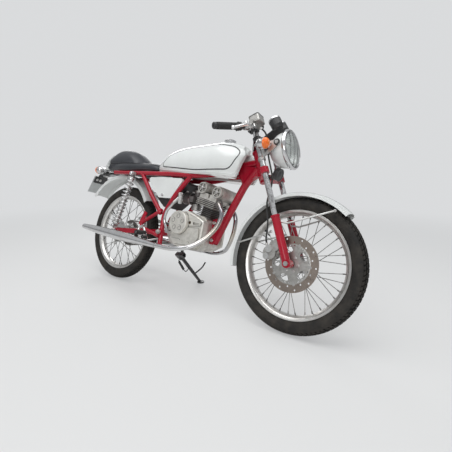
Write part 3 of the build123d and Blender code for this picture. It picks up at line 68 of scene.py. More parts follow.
def add_node(tree, kind, inputs=None, **settings):
    """Adds a node, sets its properties, and fills or joins its sockets."""
    made = tree.nodes.new(kind)
    for key, value in settings.items():
        setattr(made, key, value)
    for socket, value in (inputs or {}).items():
        if isinstance(value, bpy.types.NodeSocket):
            tree.links.new(value, made.inputs[socket])
        else:
            made.inputs[socket].default_value = value
    return made


def in_scene(name, data):
    """A new object that holds some data, linked to the scene."""
    made = bpy.data.objects.new(name, data)
    bpy.context.scene.collection.objects.link(made)
    return made


scene = bpy.context.scene
scene.view_settings.view_transform = "Standard"
camera = in_scene("photo_camera", bpy.data.cameras.new("photo_camera"))
camera.data.sensor_width = sensor_width
camera.data.lens = focal_length
camera.data.clip_start = camera_near_clip
camera.location = camera_spot
camera.rotation_euler = (
    Matrix.Rotation(-camera_yaw, 3, "Z")
    @ Matrix.Rotation(math.pi / 2 + camera_pitch, 3, "X")
    @ Matrix.Rotation(camera_roll, 3, "Z")
).to_euler()
scene.camera = camera

for name, spot, aim, size, power in soft_lamps:
    lamp = bpy.data.lights.new(name, "AREA")
    lamp.shape = "RECTANGLE"
    lamp.size, lamp.size_y = size
    lamp.energy = power
    holder = in_scene(name, lamp)
    holder.location = spot
    holder.rotation_euler = (Vector(aim) - Vector(spot)).to_track_quat("-Z", "Y").to_euler()

room = bpy.data.worlds.new("pale_room")
scene.world = room
room.use_nodes = True
room.node_tree.nodes.clear()


def shown_share(tree, camera_share, mirror_share):
    """How far a ray sees the background: the camera's own rays and those off or through the object."""
    ray = add_node(tree, "ShaderNodeLightPath")
    mirrored = add_node(
        tree,
        "ShaderNodeMath",
        {0: ray.outputs["Is Glossy Ray"], 1: ray.outputs["Is Transmission Ray"]},
        operation="MAXIMUM",
    )
    weak = add_node(tree, "ShaderNodeMath", {0: mirrored.outputs[0], 1: mirror_share}, operation="MULTIPLY")
    direct = add_node(
        tree, "ShaderNodeMath", {0: ray.outputs["Is Camera Ray"], 1: camera_share}, operation="MULTIPLY"
    )
    return add_node(
        tree, "ShaderNodeMath", {0: weak.outputs[0], 1: direct.outputs[0]}, operation="MAXIMUM"
    ).outputs[0]


ray_heading = add_node(room.node_tree, "ShaderNodeTexCoord").outputs["Generated"]
ray_height = add_node(room.node_tree, "ShaderNodeSeparateXYZ", {0: ray_heading}).outputs["Z"]
# The room is dimmer along the horizon than overhead, so that bright metal shows its roundness
room_level = add_node(
    room.node_tree,
    "ShaderNodeMapRange",
    {0: ray_height, 1: 0.02, 2: 0.55, 3: 0.10, 4: 0.56},
    interpolation_type="SMOOTHSTEP",
)
sky_fill = add_node(
    room.node_tree, "ShaderNodeBackground", {"Color": room_colour, "Strength": room_level.outputs[0]}
)
sky_seen = add_node(room.node_tree, "ShaderNodeBackground", {"Color": backdrop_colour, "Strength": 1.0})
sky = add_node(
    room.node_tree,
    "ShaderNodeMixShader",
    {0: shown_share(room.node_tree, 1.0, 0.35), 1: sky_fill.outputs[0], 2: sky_seen.outputs[0]},
)
add_node(room.node_tree, "ShaderNodeOutputWorld", {"Surface": sky.outputs[0]})

floor_mesh = bpy.data.meshes.new("studio_floor")
floor_mesh.from_pydata(
    [(x, y, 0) for x, y in ((-1, -1), (1, -1), (1, 1), (-1, 1))], [], [(0, 1, 2, 3)]
)
floor_mesh.transform(Matrix.Scale(floor_reach, 4))
in_scene("studio_floor", floor_mesh)
floor_paint = bpy.data.materials.new("studio_floor")
floor_paint.use_nodes = True
floor_tree = floor_paint.node_tree
floor_shader = floor_tree.nodes["Principled BSDF"]
floor_shader.inputs["Base Color"].default_value = floor_colour
floor_shader.inputs["Roughness"].default_value = floor_roughness
floor_glow = add_node(floor_tree, "ShaderNodeEmission", {"Color": backdrop_colour, "Strength": 1.0})
# The floor takes the backdrop's plain colour away from the machine, and keeps the machine's shadow near it
floor_place = add_node(floor_tree, "ShaderNodeTexCoord").outputs["Object"]
floor_distance = add_node(floor_tree, "ShaderNodeVectorMath", {0: floor_place}, operation="LENGTH")
floor_fade = add_node(
    floor_tree,
    "ShaderNodeMapRange",
    {0: floor_distance.outputs["Value"], 1: 1.3, 2: 5.0, 3: 0.45, 4: 1.0},
    interpolation_type="SMOOTHSTEP",
)
floor_shown = add_node(
    floor_tree,
    "ShaderNodeMath",
    {0: shown_share(floor_tree, 1.0, 0.6), 1: floor_fade.outputs[0]},
    operation="MULTIPLY",
)
floor_mix = add_node(
    floor_tree,
    "ShaderNodeMixShader",
    {0: floor_shown.outputs[0], 1: floor_shader.outputs[0], 2: floor_glow.outputs[0]},
)
floor_tree.links.new(floor_mix.outputs[0], floor_tree.nodes["Material Output"].inputs["Surface"])
floor_mesh.materials.append(floor_paint)

# Tyres
# Black rubber tyres on 18-inch rims: a smooth carcass with moulded rings on its walls, and a road tread
# of one zigzag middle rib and slanted blocks that run out over the shoulders.
tyre_radius = 298
tyre_bead_radius = 240
tyre_shoulder_radius = 283
tyre_shoulder_half_width = 29
tread_depth = 4.5
tread_pitches = 46
tread_block_rows = 2
tread_block_columns = 3
tread_block_taper = 0.94
wall_steps = 16
wall_ring_steps = (2, 3, 11, 13)
wall_ring_height = 0.7
wheel_facets = 144
rim_lip_half_width = 22
rim_seat_radius = 227
rubber_black = (0.018, 0.017, 0.016, 1)
tread_dust = (0.066, 0.058, 0.050, 1)

joints = {joint["name"]: joint for joint in frame["joints"]}
rear_spindle = joints["rear_wheel_spin"]
lean = math.atan2(-rear_spindle["axis"][2], rear_spindle["axis"][1])
upright_to_parked = Matrix.Rotation(-lean, 4, "X")
# Pieces are drawn upright in millimetres, X forward from the rear axle, Y to the left, Z up from the floor
parked = (
    Matrix.Translation(rear_spindle["pos_m"])
    @ upright_to_parked
    @ Matrix.Scale(0.001, 4)
    @ Matrix.Translation((0, 0, -tyre_radius))
)
front_axle_place = parked.inverted() @ Vector(joints["front_wheel_spin"]["pos_m"])
rear_axle_place = Vector((0, 0, tyre_radius))
across = Matrix.Rotation(-math.pi / 2, 4, "X")


def shader_group(name, inputs, outputs):
    """A shader node group with named sockets, and the nodes that stand for them inside."""
    group = bpy.data.node_groups.new(name, "ShaderNodeTree")
    for label, kind, value in inputs:
        socket = group.interface.new_socket(name=label, in_out="INPUT", socket_type=kind)
        if value is not None:
            socket.default_value = value
    for label, kind in outputs:
        group.interface.new_socket(name=label, in_out="OUTPUT", socket_type=kind)
    return group, add_node(group, "NodeGroupInput"), add_node(group, "NodeGroupOutput")


def mottle_group():
    """Patches of a second colour, as dust, oil film or oxide, with a mask and a grain height."""
    group, given, out = shader_group(
        "mottle",
        [
            ("Colour", "NodeSocketColor", (0.5, 0.5, 0.5, 1)),
            ("Second Colour", "NodeSocketColor", (0.2, 0.2, 0.2, 1)),
            ("Scale", "NodeSocketFloat", 30.0),
            ("Amount", "NodeSocketFloat", 0.3),
            ("Low Roughness", "NodeSocketFloat", 0.3),
            ("High Roughness", "NodeSocketFloat", 0.5),
            ("Grain Scale", "NodeSocketFloat", 900.0),
        ],
        [
            ("Colour", "NodeSocketColor"),
            ("Roughness", "NodeSocketFloat"),
            ("Height", "NodeSocketFloat"),
        ],
    )
    place = add_node(group, "ShaderNodeTexCoord").outputs["Object"]
    patches = add_node(
        group,
        "ShaderNodeTexNoise",
        {"Vector": place, "Scale": given.outputs["Scale"], "Detail": 6.0, "Roughness": 0.62},
    )
    spread = add_node(
        group,
        "ShaderNodeMapRange",
        {0: patches.outputs["Fac"], 1: 0.40, 2: 0.72, 3: 0.0, 4: given.outputs["Amount"]},
    )
    tint = add_node(
        group,
        "ShaderNodeMix",
        {0: spread.outputs[0], 6: given.outputs["Colour"], 7: given.outputs["Second Colour"]},
        data_type="RGBA",
    )
    shine = add_node(
        group,
        "ShaderNodeMapRange",
        {
            0: patches.outputs["Fac"],
            1: 0.3,
            2: 0.7,
            3: given.outputs["Low Roughness"],
            4: given.outputs["High Roughness"],
        },
    )
    grain = add_node(
        group,
        "ShaderNodeTexNoise",
        {"Vector": place, "Scale": given.outputs["Grain Scale"], "Detail": 3.0},
    )
    group.links.new(tint.outputs[2], out.inputs["Colour"])
    group.links.new(shine.outputs[0], out.inputs["Roughness"])
    group.links.new(grain.outputs["Fac"], out.inputs["Height"])
    return group


mottle = mottle_group()


def finish_of(name, colour, second, patches, roughness, grain, sockets=None, metallic=0.0):
    """A material with patches of a second colour and a fine grain.

    patches is (scale, amount), roughness is (low, high), grain is (scale, depth in millimetres).
    """
    material = bpy.data.materials.new(name)
    material.use_nodes = True
    tree = material.node_tree
    shader = tree.nodes["Principled BSDF"]
    values = {
        "Colour": colour,
        "Second Colour": second,
        "Scale": patches[0],
        "Amount": patches[1],
        "Low Roughness": roughness[0],
        "High Roughness": roughness[1],
        "Grain Scale": grain[0],
    }
    effect = add_node(tree, "ShaderNodeGroup", values, node_tree=mottle)
    tree.links.new(effect.outputs["Colour"], shader.inputs["Base Color"])
    tree.links.new(effect.outputs["Roughness"], shader.inputs["Roughness"])
    bump = add_node(
        tree,
        "ShaderNodeBump",
        {"Height": effect.outputs["Height"], "Distance": grain[1] / 1000, "Strength": 1.0},
    )
    tree.links.new(bump.outputs[0], shader.inputs["Normal"])
    shader.inputs["Metallic"].default_value = metallic
    for label, value in (sockets or {}).items():
        shader.inputs[label].default_value = value
    return material


def lathe(profile, facets=wheel_facets):
    """A closed ring of (radius, height) points turned about Z; a radius near 0 closes the middle."""
    shape = bmesh.new()
    rings = []
    for radius, height in profile:
        ring = []
        for step in range(facets):
            angle = 2 * math.pi * step / facets
            ring.append(shape.verts.new((radius * math.cos(angle), radius * math.sin(angle), height)))
        rings.append(ring)
    for inner, outer in zip(rings, rings[1:] + rings[:1]):
        for step in range(facets):
            after = (step + 1) % facets
            shape.faces.new((inner[step], inner[after], outer[after], outer[step]))
    bmesh.ops.remove_doubles(shape, verts=shape.verts, dist=1e-4)
    bmesh.ops.dissolve_degenerate(shape, dist=1e-5, edges=shape.edges)
    bmesh.ops.recalc_face_normals(shape, faces=shape.faces)
    return to_mesh(shape)


def to_mesh(shape):
    """The mesh of a bmesh, which is freed."""
    mesh = bpy.data.meshes.new("drawn")
    shape.to_mesh(mesh)
    shape.free()
    return mesh


def moved(mesh, matrix):
    """The same mesh after a matrix, kept facing outwards."""
    mesh.transform(matrix)
    if matrix.determinant() < 0:
        mesh.flip_normals()
    return mesh


def joined(meshes):
    """One mesh from several."""
    shape = bmesh.new()
    for mesh in meshes:
        shape.from_mesh(mesh)
        bpy.data.meshes.remove(mesh)
    return to_mesh(shape)


def add_piece(name, body, mesh, material, stands_for=(), crease_deg=35):
    """Puts a mesh drawn upright in millimetres in place, as a piece that rides on a body."""
    mesh.transform(parked)
    mesh.name = name
    piece = in_scene(name, mesh)
    mesh.materials.clear()
    mesh.materials.append(material)
    mesh.polygons.foreach_set("use_smooth", [True] * len(mesh.polygons))
    mesh.set_sharp_from_angle(angle=math.radians(crease_deg))
    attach(piece, body)
    if stands_for:
        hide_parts(*stands_for)
    return piece


def taken_mesh(holder, *helpers):
    """The mesh of an object after its modifiers; the object and its helpers are removed."""
    grown = holder.evaluated_get(bpy.context.evaluated_depsgraph_get())
    mesh = bpy.data.meshes.new_from_object(grown)
    for item in (holder, *helpers):
        bpy.data.objects.remove(item)
    return mesh


def growth_tree(name, inputs):
    """A Geometry Nodes tree with named inputs, and the node that stands for them inside."""
    tree = bpy.data.node_groups.new(name, "GeometryNodeTree")
    for label, kind in (("Geometry", "NodeSocketGeometry"), *inputs, ("Finish", "NodeSocketMaterial")):
        tree.interface.new_socket(name=label, in_out="INPUT", socket_type=kind)
    tree.interface.new_socket(name="Geometry", in_out="OUTPUT", socket_type="NodeSocketGeometry")
    return tree, add_node(tree, "NodeGroupInput")


def grown_by(tree, given, copies, holder, values, *helpers):
    """The plain mesh that a tree's copies make on a holder, with the tree's named values set."""
    real = add_node(tree, "GeometryNodeRealizeInstances", {"Geometry": copies})
    painted = add_node(
        tree, "GeometryNodeSetMaterial", {"Geometry": real.outputs[0], "Material": given.outputs["Finish"]}
    )
    add_node(tree, "NodeGroupOutput", {0: painted.outputs[0]})
    modifier = holder.modifiers.new(tree.name, "NODES")
    modifier.node_group = tree
    sockets = {s.name: s.identifier for s in tree.interface.items_tree if s.in_out == "INPUT"}
    for label, value in values.items():
        modifier[sockets[label]] = value
    return taken_mesh(holder, *helpers)


def ringed(mesh, count, finish, turn=None):
    """Copies of a mesh about Z by Geometry Nodes: evenly all round, or each turned by turn from the last."""
    inputs = (("Count", "NodeSocketInt"), ("Turn", "NodeSocketVector"))
    tree, given = growth_tree("ringed", inputs)
    number = add_node(tree, "GeometryNodeInputIndex").outputs[0]
    points = add_node(tree, "GeometryNodePoints", {"Count": given.outputs["Count"]})
    copies = add_node(
        tree,
        "GeometryNodeInstanceOnPoints",
        {"Points": points.outputs[0], "Instance": given.outputs["Geometry"]},
    )
    angles = add_node(
        tree, "ShaderNodeVectorMath", {0: given.outputs["Turn"], 3: number}, operation="SCALE"
    )
    spun = add_node(
        tree,
        "GeometryNodeRotateInstances",
        {"Instances": copies.outputs[0], "Rotation": angles.outputs[0], "Local Space": False},
    )
    step = Vector((0, 0, turn or 2 * math.pi / count))
    values = {"Count": count, "Turn": step, "Finish": finish}
    return grown_by(tree, given, spun.outputs[0], in_scene("ringed", mesh), values)


def crown_point(half_turn, reach, depth):
    """A point of the tyre's round crown: reach is millimetres across it from the middle."""
    rise = tyre_radius - tyre_shoulder_radius
    crown_radius = (tyre_shoulder_half_width**2 + rise**2) / (2 * rise)
    bend = reach / crown_radius
    radius = tyre_radius - crown_radius + (crown_radius - depth) * math.cos(bend)
    y = (crown_radius - depth) * math.sin(bend)
    return Vector((radius * math.cos(half_turn), radius * math.sin(half_turn), y))


def tread_block(shape, corners):
    """One rubber block on the crown: corners are (share of a pitch, reach) in order round it."""
    rows, columns = tread_block_rows, tread_block_columns
    pitch = 2 * math.pi / tread_pitches
    a, b, c, d = corners
    grids = []
    for depth in (tread_depth + 1.0, 0.0):
        taper = 1.0 if depth else tread_block_taper
        middle = [sum(corner[i] for corner in corners) / 4 for i in (0, 1)]
        grid = []
        for row in range(rows + 1):
            line = []
            for column in range(columns + 1):
                s, t = row / rows, column / columns
                spot = [
                    (a[i] * (1 - s) + b[i] * s) * (1 - t) + (d[i] * (1 - s) + c[i] * s) * t for i in (0, 1)
                ]
                spot = [middle[i] + (spot[i] - middle[i]) * taper for i in (0, 1)]
                line.append(shape.verts.new(crown_point(spot[0] * pitch, spot[1], depth)))
            grid.append(line)
        grids.append(grid)
    low, high = grids
    for row in range(rows):
        for column in range(columns):
            shape.faces.new(
                (high[row][column], high[row + 1][column], high[row + 1][column + 1], high[row][column + 1])
            )
    border = [(row, 0) for row in range(rows)] + [(rows, column) for column in range(columns)]
    border += [(row, columns) for row in range(rows, 0, -1)]
    border += [(0, column) for column in range(columns, 0, -1)]
    for (r0, c0), (r1, c1) in zip(border, border[1:] + border[:1]):
        shape.faces.new((low[r0][c0], low[r1][c1], high[r1][c1], high[r0][c0]))


def tyre_mesh(half_width):
    """A tyre about Z: its carcass with wall rings, and its tread blocks all round."""
    wall = []
    for step in range(wall_steps + 1):
        share = step / wall_steps
        radius = tyre_bead_radius + (tyre_shoulder_radius - tyre_bead_radius) * share
        bulge = 4 * share * (1 - share)
        base = rim_lip_half_width + (tyre_shoulder_half_width - rim_lip_half_width) * share
        middle = (rim_lip_half_width + tyre_shoulder_half_width) / 2
        ring = wall_ring_height if step in wall_ring_steps else 0.0
        wall.append((radius, base + bulge * (half_width - 1 - middle) + ring))
    crown = []
    for step in range(13):
        reach = tyre_shoulder_half_width * 1.08 * (1 - step / 6)
        point = crown_point(0, reach, tread_depth)
        crown.append((point.x, point.z))
    profile = wall + crown + [(radius, -y) for radius, y in reversed(wall)]
    profile += [(rim_seat_radius, -rim_lip_half_width), (rim_seat_radius, rim_lip_half_width)]
    carcass = lathe(profile)
    shape = bmesh.new()
    tread_block(shape, ((0.05, -4), (0.46, -8), (0.46, 4), (0.05, 8)))
    tread_block(shape, ((0.55, -8), (0.96, -4), (0.96, 8), (0.55, 4)))
    # Each row gives the slanted block's two reaches, and where its inner and its outer edge start in a pitch
    for inner, outer, inner_start, outer_start in ((11.5, 20.0, 0.05, 0.23), (23.0, 33.5, 0.28, 0.42)):
        for side in (-1, 1):
            for shift in (0.0, 0.5):
                edges = ((inner_start, inner), (inner_start + 0.38, inner))
                edges += ((outer_start + 0.38, outer), (outer_start, outer))
                tread_block(shape, [(share + shift, side * reach) for share, reach in edges])
    bmesh.ops.recalc_face_normals(shape, faces=shape.faces)
    blocks = ringed(to_mesh(shape), tread_pitches, tyre_rubber)
    return joined([carcass, blocks])


def tinted(material, tint):
    """Multiplies a finish's colour by a socket of its tree."""
    tree = material.node_tree
    shader = tree.nodes["Principled BSDF"]
    plain = shader.inputs["Base Color"].links[0].from_socket
    product = add_node(
        tree, "ShaderNodeMix", {0: 1.0, 6: plain, 7: tint}, data_type="RGBA", blend_type="MULTIPLY"
    )
    tree.links.new(product.outputs[2], shader.inputs["Base Color"])


def paint_crevice_shade_and_dirt(material, reach, least):
    """Painted shade, with some dirt, in a piece's own narrow gaps: ambient occlusion darkens its colour
    there.

    reach is the gap's width in millimetres, and least is the share of the colour that is left there.
    """
    tree = material.node_tree
    hollow = add_node(
        tree, "ShaderNodeAmbientOcclusion", {"Distance": reach / 1000}, samples=8, only_local=True
    )
    share = add_node(tree, "ShaderNodeMapRange", {0: hollow.outputs["AO"], 1: 0.3, 2: 0.9, 3: least, 4: 1.0})
    tinted(material, share.outputs[0])


tyre_rubber = finish_of(
    "tyre_rubber",
    rubber_black,
    tread_dust,
    patches=(22, 0.75),
    roughness=(0.55, 0.82),
    grain=(700, 0.10),
    sockets={"Specular IOR Level": 0.25},
)
# Painted shade and some dirt darken the tread's grooves and the gaps between its blocks
paint_crevice_shade_and_dirt(tyre_rubber, 5, 0.08)
tyre_places = (
    ("front_tyre_with_tread", "front_wheel", "front_tyre", front_axle_place, 34),
    ("rear_tyre_with_tread", "rear_wheel", "rear_tyre", rear_axle_place, 37),
)
for name, body, node, axle, half_width in tyre_places:
    mesh = moved(tyre_mesh(half_width), Matrix.Translation(axle) @ across)
    add_piece(name, body, mesh, tyre_rubber, stands_for=[node])

# Laced wheels
# Shouldered aluminium rims, 36 stainless spokes with nipples in four rows, and turned aluminium hubs: the
# front one narrow, with the disc bolted on its right, the rear a brake drum with the sprocket on its left.
rim_flange_radius = 238
rim_well_radius = 219
spoke_count = 36
spoke_radius = 1.5
nipple_length = 13
nipple_radius = 3.0
front_hub = (
    (6.1, -47), (30, -47), (30, -40), (22, -38), (22, -35), (38, -34.5), (38.6, -32), (38, -29.5),
    (24, -27), (19, -12), (18, 0), (19, 12), (24, 27), (38, 29.5), (38.6, 32), (38, 34.5), (24, 35),
    (24, 45), (22.5, 46), (6.1, 46),
)
rear_hub = (
    (7.1, -6), (55, -6), (55, -44), (68, -44), (70, -42.5), (70, -39.5), (66, -38.5), (64.5, -33),
    (65.5, -32), (65.5, -29), (64.5, -28), (64.5, -23), (65.5, -22), (65.5, -19), (64.5, -18), (64, -6),
    (60, 2), (36, 14), (34, 25), (60, 26.5), (62, 27.5), (62, 31.5), (60, 32.5), (40, 34), (40, 45.5),
    (38.5, 46.3), (7.1, 46.3),
)


def metal(name, colour, second, patches, roughness, grain=(900, 0.02)):
    """A bare or plated metal."""
    return finish_of(name, colour, second, patches, roughness, grain, metallic=1.0)


polished_alloy = metal(
    "polished_alloy",
    (0.80, 0.80, 0.80, 1),
    (0.52, 0.50, 0.47, 1),
    patches=(34, 0.55),
    roughness=(0.16, 0.34),
)
stainless = metal(
    "stainless_spokes", (0.62, 0.61, 0.60, 1), (0.36, 0.34, 0.32, 1), patches=(60, 0.5), roughness=(0.22, 0.4)
)
rim_alloy = metal(
    "rim_alloy", (0.70, 0.69, 0.67, 1), (0.44, 0.41, 0.38, 1), patches=(26, 0.55), roughness=(0.26, 0.40)
)
satin_alloy = metal(
    "satin_alloy",
    (0.66, 0.66, 0.65, 1),
    (0.36, 0.35, 0.33, 1),
    patches=(40, 0.6),
    roughness=(0.32, 0.5),
    grain=(1400, 0.05),
)
spoke_steel = metal(
    "spoke_steel", (0.22, 0.215, 0.21, 1), (0.10, 0.095, 0.09, 1), patches=(50, 0.6), roughness=(0.26, 0.42)
)
soft_rubber = finish_of(
    "soft_rubber",
    (0.018, 0.018, 0.018, 1),
    (0.05, 0.048, 0.045, 1),
    patches=(50, 0.5),
    roughness=(0.5, 0.7),
    grain=(1500, 0.03),
)


def rim_mesh():
    """A rim about Z: seats for the beads, a dropped well and rolled edges."""
    upper = [
        (rim_flange_radius - 1, 25), (rim_flange_radius + 0.4, 24), (rim_flange_radius, 22.5),
        (rim_flange_radius - 2, 22), (rim_seat_radius, 22), (rim_seat_radius - 1, 14),
        (rim_well_radius + 1, 10), (rim_well_radius, 8),
    ]
    lower = [
        (rim_well_radius - 4, 0), (rim_well_radius - 4, 9), (rim_well_radius - 2, 12),
        (rim_seat_radius - 6, 15.5), (rim_seat_radius - 4.5, 18), (rim_seat_radius + 1, 22),
        (rim_flange_radius - 3, 25), (rim_flange_radius - 1, 25.4),
    ]
    ring = upper + [(radius, -y) for radius, y in reversed(upper)]
    return lathe(ring + [(radius, -y) for radius, y in reversed(lower)] + lower[1:])


def rod_between(start, end, radius, facets, end_radius=None):
    """A straight round rod with closed ends."""
    start, end = Vector(start), Vector(end)
    run = end - start
    shape = bmesh.new()
    bmesh.ops.create_cone(
        shape,
        cap_ends=True,
        segments=facets,
        radius1=radius,
        radius2=radius if end_radius is None else end_radius,
        depth=run.length,
    )
    turn = run.to_track_quat("Z", "Y").to_matrix().to_4x4()
    bmesh.ops.transform(shape, matrix=Matrix.Translation((start + end) / 2) @ turn, verts=shape.verts)
    return to_mesh(shape)


def spoke_set(swing_deg, flange_radius, flange_y, rim_y, first):
    """One of four rows of nine spokes about Z, each ending in a nipple at the rim."""
    angle_rim = 2 * math.pi * first / spoke_count
    angle_hub = angle_rim + math.radians(swing_deg)
    hub_end = Vector((flange_radius * math.cos(angle_hub), flange_radius * math.sin(angle_hub), flange_y))
    reach = rim_well_radius - 3
    rim_end = Vector((reach * math.cos(angle_rim), reach * math.sin(angle_rim), rim_y))
    direction = (hub_end - rim_end).normalized()
    inward = Vector((hub_end.x, hub_end.y, 0)).normalized()
    elbow = hub_end + inward * 1.0 + Vector((0, 0, 4 if flange_y < 0 else -4))
    spoke = joined(
        [
            rod_between(hub_end, rim_end, spoke_radius, 8),
            rod_between(rim_end - direction * 2, rim_end + direction * nipple_length, nipple_radius, 8),
            rod_between(hub_end, elbow, spoke_radius, 6),
        ]
    )
    return ringed(spoke, spoke_count // 4, spoke_steel)


def spoke_mesh(rows):
    """All the spokes of a wheel."""
    return joined([spoke_set(*row) for row in rows])


front_rows = [
    (60, 34, -30.5, -5, 0), (-60, 34, -33.5, -5, 2), (60, 34, 33.5, 5, 1), (-60, 34, 30.5, 5, 3),
]
rear_rows = [
    (32, 67, -40.0, -5, 0), (-32, 67, -43.0, -5, 2), (32, 58, 31.0, 5, 1), (-32, 58, 28.0, 5, 3),
]
wheel_builds = (
    ("front", "front_wheel", front_axle_place, front_hub, front_rows),
    ("rear", "rear_wheel", rear_axle_place, rear_hub, rear_rows),
)
for end, body, axle, hub, rows in wheel_builds:
    spot = Matrix.Translation(axle) @ across
    node = end + "_wire_wheel"
    add_piece(end + "_rim", body, moved(rim_mesh(), spot), rim_alloy, [node])
    add_piece(end + "_hub", body, moved(lathe(hub, 72), spot), satin_alloy, [node])
    add_piece(end + "_spokes", body, moved(spoke_mesh(rows), spot), spoke_steel, [node])
    valve = joined(
        [
            rod_between((rim_well_radius - 4, 0, 0), (rim_well_radius - 30, 0, 0), 3, 12),
            rod_between((rim_well_radius - 4, 0, 0), (rim_well_radius - 7, 0, 0), 6, 6),
            rod_between((rim_well_radius - 28, 0, 0), (rim_well_radius - 38, 0, 0), 4.2, 12),
        ]
    )
    valve_turn = Matrix.Rotation(math.radians(217), 4, "Z")
    add_piece(end + "_valve", body, moved(valve, spot @ valve_turn), soft_rubber)

# Front brake
# A drilled steel disc, browned by heat, riveted to an aluminium carrier that six bolts hold to the hub,
# and a cast caliper with two piston caps behind the right slider.
disc_inner_radius = 84
disc_y = -50
carrier_rivets = 5
carrier_slots = 25
hub_bolts = 6
lean_turn = (-lean, 0, 0)


def radial_group():
    """Distance from a crosswise axis and along it, for parts that turn on an axle."""
    group, given, out = shader_group(
        "radial_place",
        [("Centre", "NodeSocketVector", (0, 0, 0)), ("Turn", "NodeSocketVector", (0, 0, 0))],
        [("Radius", "NodeSocketFloat"), ("Vector", "NodeSocketVector")],
    )
    place = add_node(group, "ShaderNodeTexCoord").outputs["Object"]
    local = add_node(
        group,
        "ShaderNodeMapping",
        {"Vector": place, "Location": given.outputs["Centre"], "Rotation": given.outputs["Turn"]},
        vector_type="TEXTURE",
    )
    flat = add_node(
        group, "ShaderNodeVectorMath", {0: local.outputs[0], 1: (1, 0, 1)}, operation="MULTIPLY"
    )
    reach = add_node(group, "ShaderNodeVectorMath", {0: flat.outputs[0]}, operation="LENGTH")
    group.links.new(reach.outputs["Value"], out.inputs["Radius"])
    group.links.new(local.outputs[0], out.inputs["Vector"])
    return group


radial_place = radial_group()


def disc_finish():
    """Heat-browned steel with turning marks on the braking ring, plain aluminium inside it."""
    material = metal(
        "brake_disc",
        (0.60, 0.60, 0.59, 1),
        (0.34, 0.32, 0.30, 1),
        patches=(60, 0.5),
        roughness=(0.26, 0.42),
    )
    tree = material.node_tree
    shader = tree.nodes["Principled BSDF"]
    effect = next(node for node in tree.nodes if node.type == "GROUP")
    values = {"Centre": joints["front_wheel_spin"]["pos_m"], "Turn": lean_turn}
    place = add_node(tree, "ShaderNodeGroup", values, node_tree=radial_place)
    ring = add_node(
        tree,
        "ShaderNodeMapRange",
        {0: place.outputs["Radius"], 1: disc_inner_radius / 1000 - 0.001, 2: disc_inner_radius / 1000},
    )
    marks = add_node(
        tree,
        "ShaderNodeTexNoise",
        {"W": place.outputs["Radius"], "Scale": 2600.0, "Detail": 2.0},
        noise_dimensions="1D",
    )
    browned = add_node(
        tree,
        "ShaderNodeMix",
        {0: marks.outputs["Fac"], 6: (0.16, 0.125, 0.10, 1), 7: (0.52, 0.45, 0.40, 1)},
        data_type="RGBA",
    )
    both = add_node(
        tree,
        "ShaderNodeMix",
        {0: ring.outputs[0], 6: effect.outputs["Colour"], 7: browned.outputs[2]},
        data_type="RGBA",
    )
    tree.links.new(both.outputs[2], shader.inputs["Base Color"])
    return material


def slab(outline, low, high, bevel):
    """A flat plate drawn in X and Y between two heights, its rims softened."""
    shape = bmesh.new()
    face = shape.faces.new([shape.verts.new((x, y, low)) for x, y in outline])
    grown = bmesh.ops.extrude_face_region(shape, geom=[face])
    risen = [item for item in grown["geom"] if isinstance(item, bmesh.types.BMVert)]
    bmesh.ops.translate(shape, vec=(0, 0, high - low), verts=risen)
    bmesh.ops.recalc_face_normals(shape, faces=shape.faces)
    if bevel:
        rims = [edge for edge in shape.edges if abs(edge.verts[0].co.z - edge.verts[1].co.z) < 1e-6]
        bmesh.ops.bevel(shape, geom=rims, offset=bevel, segments=2, affect="EDGES", profile=0.5)
    return to_mesh(shape)


def oval(centre, half_length, half_width, turn=0.0, facets=28):
    """Points of an oval in X and Y, its long side turned from X."""
    points = []
    for step in range(facets):
        angle = 2 * math.pi * step / facets
        x, y = half_length * math.cos(angle), half_width * math.sin(angle)
        points.append(
            (
                centre[0] + x * math.cos(turn) - y * math.sin(turn),
                centre[1] + x * math.sin(turn) + y * math.cos(turn),
            )
        )
    return points


def cut_away(mesh, cutter):
    """A mesh less the space of another."""
    holder = in_scene("cut", mesh)
    tool = in_scene("cutter", cutter)
    modifier = holder.modifiers.new("cut", "BOOLEAN")
    modifier.operation = "DIFFERENCE"
    modifier.solver = "EXACT"
    modifier.object = tool
    return taken_mesh(holder, tool)


def finish_nodes(material, *names):
    """Gives CAD nodes whose shape is right their finish."""
    for name in names:
        mesh = frame["nodes"][name].data
        mesh.materials.clear()
        mesh.materials.append(material)


def hex_bolt(spot, direction, across_flats, height, washer=1.5):
    """A hexagon bolt head on its washer, pointing along direction from spot."""
    spot, direction = Vector(spot), Vector(direction).normalized()
    head = rod_between(
        spot + direction * washer, spot + direction * (washer + height), across_flats / math.sqrt(3), 6
    )
    boss = rod_between(
        spot + direction * (washer + height - 0.5),
        spot + direction * (washer + height + 1.2),
        across_flats * 0.44,
        18,
        across_flats * 0.34,
    )
    ring = rod_between(spot - direction * 2, spot + direction * washer, across_flats * 0.78, 20)
    return joined([head, boss, ring])


finish_nodes(disc_finish(), "front_disc")
carrier_alloy = metal(
    "carrier_alloy", (0.52, 0.51, 0.49, 1), (0.26, 0.25, 0.23, 1), patches=(55, 0.7), roughness=(0.3, 0.46)
)
